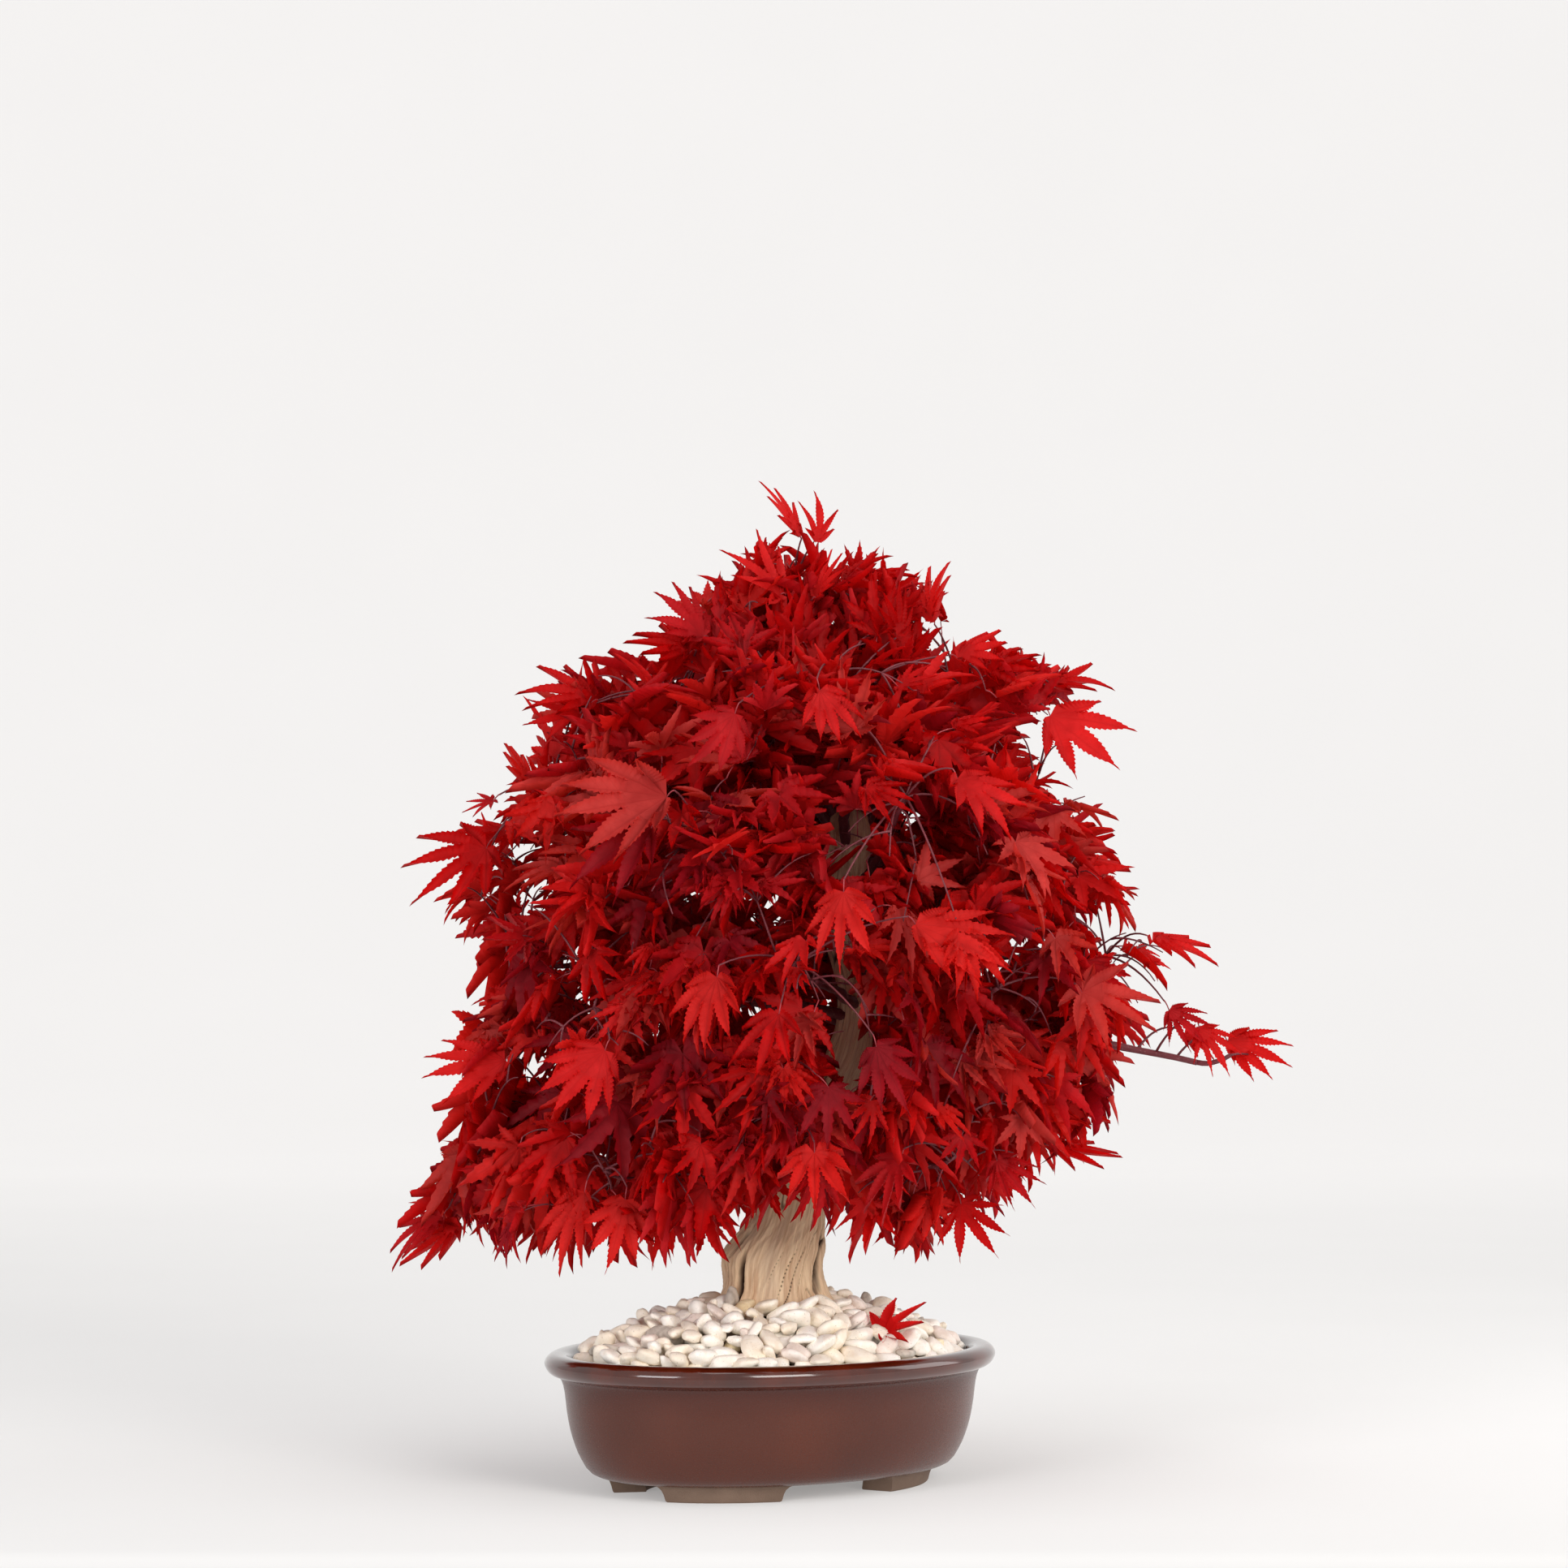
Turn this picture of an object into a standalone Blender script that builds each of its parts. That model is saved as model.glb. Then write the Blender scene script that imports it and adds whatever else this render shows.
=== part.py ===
"""Autumn Japanese maple bonsai in an oval glazed pot.

A leaning driftwood trunk stands on a heaped bed of pale pebbles. Thin boughs leave the trunk and
each one carries a mass of twigs and palmate leaves. Metres, +Z up. The pot's long side lies
along X, its feet stand on Z = 0, and the origin is under the middle of the whole plant.
"""

import math
import random

import bmesh
import bpy
from mathutils import Matrix, Vector
from mathutils.bvhtree import BVHTree

MM = 0.001
SEED = 20
CLEAR = 0.3 * MM                 # running gap kept between touching pieces

# Oval pot
POT_HALF_LENGTH = 194.5 * MM
POT_HALF_WIDTH = 150.0 * MM
POT_SIDES = 32
FOOT_HEIGHT = 12.5 * MM
FOOT_ANGLE = 45.0                # each foot's middle, from the end of the oval's long side
FOOT_HALF_ANGLE = 24.0

# Pebble bed
BED_TOP = 145.7                  # height of the flat seat under the trunk (mm)
BED_INSET = 23.5 * MM            # the bed's edge, from the pot's widest oval
PEBBLE_COUNT = 56
PEBBLE_LENGTH = (25.0 * MM, 34.0 * MM)
PEBBLE_SPACING = 24.5 * MM
PEBBLE_TOP = 163.0 * MM          # no pebble rises above this

# Tree: everything above the pot is laid out in a frame turned against the pot
TREE_TURN = math.radians(-36.0)
TRUNK_FOOT = 146                 # heights of the trunk's ends (mm)
TRUNK_TOP = 541
TRUNK_SIDES = 16
BOUGH_FOOT_RADIUS = 4.8 * MM
BOUGH_TIP_RADIUS = 2.4 * MM
STEM_RADIUS = 2.3 * MM
TWIG_RADIUS = 1.9 * MM
LEAF_LENGTH = 88.0 * MM          # from the stalk to the middle lobe's tip
LEAF_THICKNESS = 2.2 * MM        # at the thickest point, over the stalk's end
FALLEN_LEAF_LENGTH = 40.0 * MM

# Trunk centre line and half width: height, x, y, half width (mm)
TRUNK_LINE = (
    (TRUNK_FOOT, -1, 0, 45),
    (158, 0, 0, 41),
    (177, 1, 0, 38.5),
    (193, 5, 0, 37),
    (211, 11, 1, 31.5),
    (236, 17, 2, 28),
    (262, 24, 3, 25.5),
    (310, 45, 4, 21),
    (350, 62, 4, 17),
    (390, 68, 2, 16),
    (442, 58, 0, 17),
    (485, 59, -1, 17.5),
    (520, 62, 0, 17.5),
    (536, 62, 0, 14.5),
    (TRUNK_TOP, 62, 0, 9),
)

# Outline of the leafy part from its best side: height, left edge, right edge (mm)
LEAFY_LINE = ((176, -275, 150), (190, -294, 178), (215, -305, 208), (241, -298, 240),
              (267, -290, 285), (300, -292, 300), (345, -288, 308), (371, -278, 325),
              (400, -272, 348), (449, -276, 356), (480, -290, 330), (505, -290, 318),
              (530, -282, 300), (555, -256, 292), (605, -226, 280), (657, -200, 276),
              (683, -150, 258), (709, -108, 205), (735, -94, 172), (761, -66, 134),
              (787, -36, 78), (812, -14, 22))
LEAFY_DEPTH = 0.80               # its half depth as a share of its half width

# Foliage masses: name, middle x, y, z, reach (mm), leaves, bough's height on the trunk (mm)
MASSES = (
    ("mass_top", (12, 0, 722), 105, 11, 533),
    ("mass_upper_left", (-76, -5, 630), 115, 11, 520),
    ("mass_upper_right", (162, 5, 652), 115, 11, 526),
    ("mass_upper_front", (46, -108, 652), 112, 11, 512),
    ("mass_upper_back", (44, 112, 634), 112, 11, 506),
    ("mass_shoulder_left", (-176, -14, 552), 118, 11, 478),
    ("mass_shoulder_right", (220, -8, 536), 118, 11, 496),
    ("mass_middle_front", (104, -160, 552), 115, 11, 470),
    ("mass_front_left", (-52, -156, 514), 115, 11, 458),
    ("mass_back_left", (-56, 158, 550), 115, 11, 452),
    ("mass_back_right", (120, 158, 520), 115, 11, 462),
    ("mass_middle_left", (-212, -2, 428), 120, 11, 398),
    ("mass_middle_right", (268, 5, 424), 120, 11, 420),
    ("mass_low_front_left", (-138, -138, 388), 118, 11, 376),
    ("mass_low_front", (20, -178, 424), 115, 11, 386),
    ("mass_low_front_right", (176, -142, 404), 118, 11, 408),
    ("mass_back_middle", (26, 182, 424), 118, 11, 384),
    ("mass_low_back_left", (-136, 140, 396), 118, 11, 370),
    ("mass_low_back_right", (178, 142, 412), 118, 11, 396),
    ("mass_skirt_left", (-228, -10, 290), 122, 12, 282),
    ("mass_skirt_front_left", (-130, -136, 262), 115, 11, 262),
    ("mass_skirt_front", (14, -152, 306), 100, 10, 284),
    ("mass_skirt_front_right", (144, -116, 272), 110, 11, 274),
    ("mass_skirt_right", (232, 4, 310), 110, 11, 318),
    ("mass_skirt_back_left", (-126, 132, 272), 118, 11, 270),
    ("mass_skirt_back_right", (134, 128, 292), 118, 11, 290),
    ("mass_skirt_back", (4, 160, 288), 105, 10, 300),
    ("mass_far_right", (366, -20, 346), 64, 3, 344),
)
LEAFY_MIDDLE = (15, 0, 430)      # leaves turn away from this point (mm)


# --- Shared shape tools ---------------------------------------------------------------------

for old in list(bpy.data.objects):
    bpy.data.objects.remove(old, do_unlink=True)


def make_material(name, colour, roughness):
    """Plain Principled material in linear colour."""
    material = bpy.data.materials.new(name)
    material.use_nodes = True
    shader = material.node_tree.nodes["Principled BSDF"]
    shader.inputs["Base Color"].default_value = (*colour, 1.0)
    shader.inputs["Roughness"].default_value = roughness
    material.diffuse_color = (*colour, 1.0)
    return material


def make_object(name, verts, faces, material, parent, smooth=False):
    """One closed mesh as a named object, with its origin at the middle of its foot."""
    low = min(v[2] for v in verts)
    foot = [v for v in verts if v[2] < low + 2 * MM]
    origin = Vector((sum(v[0] for v in foot) / len(foot), sum(v[1] for v in foot) / len(foot), low))
    mesh = bpy.data.meshes.new(name)
    mesh.from_pydata([Vector(v) - origin for v in verts], [], faces)
    mesh.update()
    if smooth:
        mesh.shade_smooth()
        mesh.set_sharp_from_angle(angle=math.radians(40))
    mesh.materials.append(material)
    item = bpy.data.objects.new(name, mesh)
    item.location = origin
    item.parent = parent
    bpy.context.scene.collection.objects.link(item)
    return item


def across(direction):
    """Two unit vectors square to a direction and to each other."""
    direction = direction.normalized()
    guide = Vector((0, 0, 1)) if abs(direction.z) < 0.9 else Vector((1, 0, 0))
    side = direction.cross(guide).normalized()
    return side, side.cross(direction).normalized()


def tube(points, radii, sides, turn=0.0):
    """Closed tube through points, with flat ends square to its run."""
    verts, faces = [], []
    count = len(points)
    side = None
    for i, point in enumerate(points):
        ahead = points[min(i + 1, count - 1)] - points[max(i - 1, 0)]
        ahead.normalize()
        if side is None:
            side, up = across(ahead)
        else:
            side = (side - ahead * side.dot(ahead)).normalized()
            up = side.cross(ahead).normalized()
        for k in range(sides):
            angle = turn + 2 * math.pi * k / sides
            verts.append(point + (side * math.cos(angle) + up * math.sin(angle)) * radii[i])
    for i in range(count - 1):
        for k in range(sides):
            a = i * sides + k
            b = i * sides + (k + 1) % sides
            faces.append((a, a + sides, b + sides, b))
    faces.append(tuple(range(sides)))
    faces.append(tuple(range(count * sides - 1, (count - 1) * sides - 1, -1)))
    return verts, faces


def leaf(end, root, heading, normal, length, droop=0.10):
    """Palmate leaf of five pointed lobes and a tapered stalk, as one thin solid.

    It is thickest where the lobes meet. The stalk runs from its end to the blade's root."""
    heading = heading.normalized()
    side = heading.cross(normal).normalized()
    normal = side.cross(heading).normalized()
    verts = [end]
    for angle, reach, drop in ((-105, 0.045, 0), (-86, 0.62, 1), (-64, 0.40, 0), (-40, 0.95, 1),
                               (-19, 0.52, 0), (0, 1.0, 1), (19, 0.52, 0), (40, 0.95, 1),
                               (64, 0.40, 0), (86, 0.62, 1), (105, 0.045, 0)):
        turn = math.radians(angle)
        verts.append(root + (heading * math.cos(turn) + side * math.sin(turn)) * (reach * length)
                     - normal * (droop * drop * reach * length))
    middle = root + heading * (0.22 * length)
    verts.append(middle + normal * (LEAF_THICKNESS / 2))
    verts.append(middle - normal * (LEAF_THICKNESS / 2))
    count = len(verts) - 2
    faces = []
    for i in range(count):
        j = (i + 1) % count
        faces.append((j, i, count))
        faces.append((i, j, count + 1))
    return verts, faces


def facing_out(verts, faces):
    """The mesh of one solid with its faces turned outward, as verts and faces."""
    volume = 0.0
    for face in faces:
        for k in range(1, len(face) - 1):
            volume += verts[face[0]].dot(verts[face[k]].cross(verts[face[k + 1]]))
    return (verts, faces) if volume > 0 else (verts, [tuple(reversed(f)) for f in faces])


def bvh(verts, faces, swell=0.0):
    """Search tree of a closed mesh, optionally swollen along its vertex normals."""
    mesh = bpy.data.meshes.new("search")
    mesh.from_pydata(verts, [], faces)
    mesh.update()
    points = [v.co + v.normal * swell for v in mesh.vertices]
    bpy.data.meshes.remove(mesh)
    return BVHTree.FromPolygons(points, faces)


def largest_body(mesh, least_edge=0.02 * MM):
    """Keeps the largest shell of a mesh, which drops scraps and sealed hollows."""
    bm = bmesh.new()
    bm.from_mesh(mesh)
    bmesh.ops.triangulate(bm, faces=bm.faces)
    bmesh.ops.dissolve_degenerate(bm, dist=least_edge, edges=bm.edges)
    bmesh.ops.triangulate(bm, faces=bm.faces)
    left = set(bm.faces)
    shells = []
    while left:
        first = left.pop()
        shell, edge_of = [first], [first]
        while edge_of:
            face = edge_of.pop()
            for edge in face.edges:
                for other in edge.link_faces:
                    if other in left:
                        left.remove(other)
                        shell.append(other)
                        edge_of.append(other)
        shells.append(shell)
    shells.sort(key=lambda s: -sum(f.calc_area() for f in s))
    for shell in shells[1:]:
        bmesh.ops.delete(bm, geom=shell, context="FACES")
    bmesh.ops.delete(bm, geom=[v for v in bm.verts if not v.link_faces], context="VERTS")
    sound = all(len(e.link_faces) == 2 and e.is_contiguous for e in bm.edges)
    sound = sound and all(v.is_manifold for v in bm.verts) and bm.calc_volume(signed=True) > 0
    bm.to_mesh(mesh)
    bm.free()
    mesh.update()
    return sound


def union(name, pieces, solver):
    """Joins closed pieces into one body: returns its mesh, or None where it isn't sound."""
    scene = bpy.context.scene
    group = bpy.data.collections.new(name + "_pieces")
    scene.collection.children.link(group)
    made = []
    for i, (verts, faces) in enumerate(pieces):
        verts, faces = facing_out(verts, faces)
        mesh = bpy.data.meshes.new(name + "_piece")
        mesh.from_pydata(verts, [], faces)
        item = bpy.data.objects.new(name + "_piece", mesh)
        made.append(item)
        (scene.collection if i == 0 else group).objects.link(item)
    join = made[0].modifiers.new("join", "BOOLEAN")
    join.operation = "UNION"
    join.operand_type = "COLLECTION"
    join.collection = group
    join.solver = solver
    graph = bpy.context.evaluated_depsgraph_get()
    graph.update()
    mesh = bpy.data.meshes.new_from_object(made[0].evaluated_get(graph))
    for item in made:
        old = item.data
        bpy.data.objects.remove(item, do_unlink=True)
        bpy.data.meshes.remove(old)
    bpy.data.collections.remove(group)
    if largest_body(mesh):
        return mesh
    bpy.data.meshes.remove(mesh)
    return None


def mesh_lists(mesh):
    return [v.co.copy() for v in mesh.vertices], [tuple(p.vertices) for p in mesh.polygons]


root = bpy.data.objects.new("plant", None)
bpy.context.scene.collection.objects.link(root)


# --- Pot: oval, with a rolled lip and four low feet -----------------------------------------

pot_glaze = make_material("pot_glaze", (0.136, 0.051, 0.034), 0.3)


def oval_ring(inset, height, sides, turn=0.0):
    """Points of an oval that lies inside the pot's widest oval by the inset."""
    return [Vector(((POT_HALF_LENGTH - inset) * math.cos(turn + 2 * math.pi * k / sides),
                    (POT_HALF_WIDTH - inset) * math.sin(turn + 2 * math.pi * k / sides), height))
            for k in range(sides)]


def oval_loft(profile, sides):
    """Closed body through oval rings, capped flat at its first and last ring."""
    verts, faces = [], []
    for inset, height in profile:
        verts += oval_ring(inset, height, sides)
    for i in range(len(profile) - 1):
        for k in range(sides):
            a = i * sides + k
            b = i * sides + (k + 1) % sides
            faces.append((a, b, b + sides, a + sides))
    faces.append(tuple(range(sides - 1, -1, -1)))
    faces.append(tuple(range((len(profile) - 1) * sides, len(profile) * sides)))
    return verts, faces


# Inset from the widest oval and height (mm): up the outside, over the lip, down the inside
POT_OUTSIDE = ((47, 12.5), (37, 16.6), (29.5, 27), (24.5, 38), (20.5, 51), (17.8, 66), (14.5, 82),
               (10.5, 93), (4.0, 94.6), (0, 101.5), (2.6, 108), (9, 111), (17, 110.5), (21, 107))
POT_INSIDE = ((22, 101), (27, 70), (34, 40), (46, 22))

outer_and_inner = [(a * MM, z * MM) for a, z in POT_OUTSIDE + POT_INSIDE]
pot_pieces = [oval_loft(outer_and_inner, POT_SIDES)]
for quarter in (FOOT_ANGLE, 180 - FOOT_ANGLE, 180 + FOOT_ANGLE, -FOOT_ANGLE):
    steps = 5
    verts = []
    for height, outer, inner, half in ((0.0, 55.0, 82.0, FOOT_HALF_ANGLE - 1.5),
                                       (FOOT_HEIGHT + 1.6 * MM, 50.0, 78.0, FOOT_HALF_ANGLE + 1.0)):
        for inset in (outer, inner):
            for k in range(steps + 1):
                angle = math.radians(quarter - half + 2 * half * k / steps)
                verts.append(Vector(((POT_HALF_LENGTH - inset * MM) * math.cos(angle),
                                     (POT_HALF_WIDTH - inset * MM) * math.sin(angle), height)))
    n = steps + 1
    faces = []
    for k in range(steps):
        faces.append((k, k + 1, n + k + 1, n + k))
        faces.append((2 * n + k, 3 * n + k, 3 * n + k + 1, 2 * n + k + 1))
        faces.append((k, 2 * n + k, 2 * n + k + 1, k + 1))
        faces.append((n + k, n + k + 1, 3 * n + k + 1, 3 * n + k))
    faces.append((0, n, 3 * n, 2 * n))
    faces.append((n - 1, 3 * n - 1, 4 * n - 1, 2 * n - 1))
    pot_pieces.append((verts, faces))
pot_mesh = union("pot", pot_pieces, "EXACT")
pot_verts, pot_faces = mesh_lists(pot_mesh)
pot = make_object("pot", pot_verts, pot_faces, pot_glaze, root, smooth=True)
pot_search = bvh(pot_verts, pot_faces)


# --- Trunk: driftwood, flared at its foot, leaning to one side ------------------------------

trunk_wood = make_material("trunk_wood", (0.485, 0.296, 0.188), 0.8)
to_pot = Matrix.Rotation(TREE_TURN, 3, "Z")
to_tree = to_pot.transposed()


def placed(x, y, z):
    """A point of the tree's frame in the pot's frame, from millimetres."""
    return to_pot @ Vector((x, y, z)) * MM


def smooth_line(rows, height):
    """Value of a table of rows at a height, eased between its rows."""
    if height <= rows[0][0]:
        return rows[0][1:]
    for low, high in zip(rows, rows[1:]):
        if height <= high[0]:
            t = (height - low[0]) / (high[0] - low[0])
            return tuple(a + (b - a) * t for a, b in zip(low[1:], high[1:]))
    return rows[-1][1:]


def trunk_radius(angle, height, half):
    """Half width of the trunk toward an angle: long flutes, foot flares and a burl on the left."""
    twist = angle - 0.006 * (height - TRUNK_FOOT)
    flute = 0.055 * math.sin(3 * twist + 0.6) + 0.04 * math.sin(5 * twist + 2.1)
    foot = max(0.0, 1 - (height - TRUNK_FOOT) / 30.0)
    flare = 0.10 * foot * foot * (0.5 + 0.5 * math.cos(5 * angle + 0.4))
    depth = 1 - 0.12 * abs(math.sin(angle))
    burl = 5.5 * math.exp(-((height - 184) / 13.0) ** 2) * max(0.0, math.cos(angle - 3.3)) ** 2
    return half * depth * (1 + flute + flare) + burl


trunk_heights = (TRUNK_FOOT, 153, 163, 174, 184, 194, 208, 228, 255, 285, 315, 340, 365, 395,
                 430, 470, 510, 530, TRUNK_TOP)
trunk_verts = []
for height in trunk_heights:
    x, y, half = smooth_line(TRUNK_LINE, height)
    for k in range(TRUNK_SIDES):
        angle = 2 * math.pi * k / TRUNK_SIDES
        reach = trunk_radius(angle, height, half)
        slant = 3.0 * math.cos(angle - 0.5) * (1 if height == TRUNK_TOP else 0)
        trunk_verts.append(placed(x + reach * math.cos(angle), y + reach * math.sin(angle),
                                  height + slant))
trunk_faces = []
for i in range(len(trunk_heights) - 1):
    for k in range(TRUNK_SIDES):
        a = i * TRUNK_SIDES + k
        b = i * TRUNK_SIDES + (k + 1) % TRUNK_SIDES
        trunk_faces.append((a, b, b + TRUNK_SIDES, a + TRUNK_SIDES))
trunk_faces.append(tuple(range(TRUNK_SIDES - 1, -1, -1)))
top_ring = (len(trunk_heights) - 1) * TRUNK_SIDES
trunk_verts.append(sum(trunk_verts[top_ring:], Vector()) / TRUNK_SIDES)
for k in range(TRUNK_SIDES):
    trunk_faces.append((top_ring + k, top_ring + (k + 1) % TRUNK_SIDES, len(trunk_verts) - 1))
trunk = make_object("trunk", trunk_verts, trunk_faces, trunk_wood, root, smooth=True)
trunk_search = bvh(trunk_verts, trunk_faces)


# --- Pebble bed: a heap that fills the pot, with a flat seat under the trunk -----------------

pebble_stone = make_material("pebble_stone", (0.806, 0.679, 0.546), 0.6)

# Share of the way out to the rim, and the heap's height there (mm)
HEAP = ((0.0, BED_TOP), (0.33, BED_TOP), (0.48, 138.5), (0.66, 129), (0.82, 117), (1.0, 99.5))
BED_SIDES = POT_SIDES // 2
bed_profile = [(a * MM + 0.4 * MM, z * MM + 0.4 * MM) for a, z in reversed(POT_INSIDE)]
bed_profile[-1] = (BED_INSET, HEAP[-1][1] * MM)
bed_verts, bed_faces = [], []
for inset, height in bed_profile:
    bed_verts += oval_ring(inset, height, BED_SIDES)
rings = len(bed_profile)
for share, height in reversed(HEAP[1:-1]):
    for v in oval_ring(BED_INSET, height * MM, BED_SIDES):
        bed_verts.append(Vector((v.x * share, v.y * share, v.z)))
    rings += 1
for i in range(rings - 1):
    for k in range(BED_SIDES):
        a = i * BED_SIDES + k
        b = i * BED_SIDES + (k + 1) % BED_SIDES
        bed_faces.append((a, b, b + BED_SIDES, a + BED_SIDES))
bed_faces.append(tuple(range(BED_SIDES - 1, -1, -1)))
bed_faces.append(tuple(range((rings - 1) * BED_SIDES, rings * BED_SIDES)))

chance = random.Random(SEED)
bed_long = POT_HALF_LENGTH - BED_INSET
bed_wide = POT_HALF_WIDTH - BED_INSET


def heap_height(x, y):
    share = math.hypot(x / bed_long, y / bed_wide)
    return smooth_line(HEAP, min(share, 1.0))[0] * MM


def pebble(x, y, lift, sizes, yaw, lean):
    """Egg-shaped pebble of six sides, lying along the heap's slope."""
    step = 4 * MM
    slope_x = (heap_height(x + step, y) - heap_height(x - step, y)) / (2 * step)
    slope_y = (heap_height(x, y + step) - heap_height(x, y - step)) / (2 * step)
    up = Vector((-slope_x, -slope_y, 1)).normalized()
    turn = Vector((0, 0, 1)).rotation_difference(up).to_matrix() @ Matrix.Rotation(yaw, 3, "Z")
    turn = turn @ Matrix.Rotation(lean, 3, "X")
    centre = Vector((x, y, heap_height(x, y) + lift))
    verts, faces = [], []
    for share, level in ((1.0, -0.05), (0.78, 0.62)):
        for k in range(6):
            angle = 2 * math.pi * (k + 0.5) / 6
            egg = 1 + 0.10 * math.cos(angle)
            verts.append(centre + turn @ Vector((sizes[0] * share * egg * math.cos(angle),
                                                 sizes[1] * share * egg * math.sin(angle),
                                                 sizes[2] * level)))
    verts.append(centre + turn @ Vector((0, 0, sizes[2])))
    verts.append(centre - turn @ Vector((0, 0, sizes[2] * 1.1)))
    for k in range(6):
        nxt = (k + 1) % 6
        faces.append((k, nxt, nxt + 6, k + 6))
        faces.append((6 + k, 6 + nxt, 12))
        faces.append((nxt, k, 13))
    return verts, faces


pebbles, spots = [], []
for attempt in range(6000):
    if len(pebbles) >= PEBBLE_COUNT:
        break
    share = math.sqrt(chance.random()) * 0.97
    angle = chance.uniform(0, 2 * math.pi)
    x, y = share * bed_long * math.cos(angle), share * bed_wide * math.sin(angle)
    if any(math.hypot(x - px, y - py) < PEBBLE_SPACING for px, py in spots):
        continue
    size = chance.uniform(*PEBBLE_LENGTH) / 2
    sizes = (size, size * chance.uniform(0.68, 0.88), size * chance.uniform(0.5, 0.68))
    verts, faces = pebble(x, y, sizes[2] * chance.uniform(0.45, 0.75), sizes,
                          chance.uniform(0, 2 * math.pi), chance.uniform(-0.25, 0.25))
    search = bvh(verts, faces, 0.5 * MM)
    if search.overlap(trunk_search) or search.overlap(pot_search):
        continue
    if min(v.z for v in verts) < 60 * MM or max(v.z for v in verts) > PEBBLE_TOP:
        continue
    pebbles.append((verts, faces))
    spots.append((x, y))

bed_mesh = union("bed", [(bed_verts, bed_faces)] + pebbles, "EXACT")
bed_verts, bed_faces = mesh_lists(bed_mesh)
bed = make_object("pebble_bed", bed_verts, bed_faces, pebble_stone, root, smooth=True)
bed_search = bvh(bed_verts, bed_faces)


# --- Fallen leaf: leans on the pebbles in front of the trunk --------------------------------

fallen_red = make_material("fallen_leaf_red", (0.42, 0.02, 0.02), 0.6)
leaf_root = placed(86, -55, 150)
leaf_verts, leaf_faces = leaf(placed(72, -58, 149), leaf_root, to_pot @ Vector((0.82, 0.15, 0.42)),
                              to_pot @ Vector((-0.25, -0.85, 0.45)), FALLEN_LEAF_LENGTH, 0.16)
leaf_verts, leaf_faces = facing_out(leaf_verts, leaf_faces)
low, high = -60 * MM, 40 * MM
while high - low > 0.02 * MM:
    middle = (low + high) / 2
    moved = [v + Vector((0, 0, middle)) for v in leaf_verts]
    if BVHTree.FromPolygons(moved, leaf_faces).overlap(bed_search):
        low = middle
    else:
        high = middle
leaf_verts = [v + Vector((0, 0, high + CLEAR)) for v in leaf_verts]
fallen_leaf = make_object("fallen_leaf", leaf_verts, leaf_faces, fallen_red, root)


# --- Boughs: one tapering limb from the trunk to each mass -----------------------------------

bough_bark = make_material("bough_bark", (0.10, 0.045, 0.04), 0.75)


def trunk_centre(height):
    x, y, half = smooth_line(TRUNK_LINE, height)
    return placed(x, y, height)


def clear_of_trunk(ring):
    """Whether all points of a ring are outside the trunk by the running gap."""
    for point in ring:
        spot, normal, index, distance = trunk_search.find_nearest(point)
        if distance < CLEAR or (point - spot).dot(normal) < 0:
            return False
    return True


def bough_line(start, middle, end, t):
    return start * (1 - t) ** 2 + middle * 2 * t * (1 - t) + end * t ** 2


def bough(start, middle, end):
    """Limb along a bowed line, from the trunk's surface to its tip."""
    for step in range(200):
        t = step / 200
        point = bough_line(start, middle, end, t)
        ahead = bough_line(start, middle, end, t + 0.01) - point
        side, up = across(ahead)
        ring = [point + (side * math.cos(a) + up * math.sin(a)) * BOUGH_FOOT_RADIUS
                for a in [2 * math.pi * k / 12 for k in range(12)]]
        if clear_of_trunk(ring):
            break
    first = max(0.0, t - 0.005)
    while first < t:
        point = bough_line(start, middle, end, first)
        ring = [point + (side * math.cos(a) + up * math.sin(a)) * BOUGH_FOOT_RADIUS
                for a in [2 * math.pi * k / 12 for k in range(12)]]
        if clear_of_trunk(ring):
            break
        first += 0.0004
    points, radii = [], []
    for step in range(5):
        s = step / 4
        points.append(bough_line(start, middle, end, first + (1 - first) * s))
        radii.append(BOUGH_FOOT_RADIUS + (BOUGH_TIP_RADIUS - BOUGH_FOOT_RADIUS) * s ** 0.8)
    return points, tube(points, radii, 5)


def outward(point, height):
    """Level direction from the trunk to a point."""
    away = point - trunk_centre(height)
    away.z = 0
    return away.normalized() if away.length > 1e-6 else Vector((0, -1, 0))


boughs, limb_searches, thin_searches = {}, [bvh(trunk_verts, trunk_faces, 0.5 * MM)], []
for name, middle, reach, leaves, height in MASSES:
    centre = placed(*middle)
    for attempt in range(60):
        wander = Vector([chance.uniform(-1, 1) for _ in range(3)]) * (4 + attempt * 0.5) * MM
        up_on = height + chance.uniform(-1, 1) * attempt * 1.2
        start = trunk_centre(min(max(up_on, 190), 536))
        away = outward(centre, up_on)
        end = centre - (centre - start).normalized() * (reach * MM * 0.42) + wander * 0.5
        end.z -= 6 * MM
        span = (end - start).length
        bow = start + away * span * 0.55 + Vector((0, 0, 0.12 * span)) + wander
        if (end - start).z > 0.6 * span:
            bow = start + away * span * 0.30 + Vector((0, 0, 0.42 * span)) + wander
        points, (verts, faces) = bough(start, bow, end)
        search = bvh(verts, faces, 1.2 * MM)
        if search.overlap(trunk_search) and bvh(verts, faces).overlap(trunk_search):
            continue
        if any(search.overlap(other) for other in thin_searches):
            continue
        break
    else:
        print("bough crowded:", name)
    thin_searches.append(bvh(verts, faces))
    limb_searches.append(bvh(verts, faces, 0.5 * MM))
    make_object("bough_" + name[5:], verts, faces, bough_bark, root, smooth=True)
    boughs[name] = points


# --- Foliage masses: twigs and palmate leaves grown from one stem ----------------------------

leaf_reds = ((0.34, 0.012, 0.014), (0.22, 0.006, 0.010), (0.45, 0.03, 0.03), (0.28, 0.008, 0.02))
centres = [placed(*row[1]) for row in MASSES]


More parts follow.
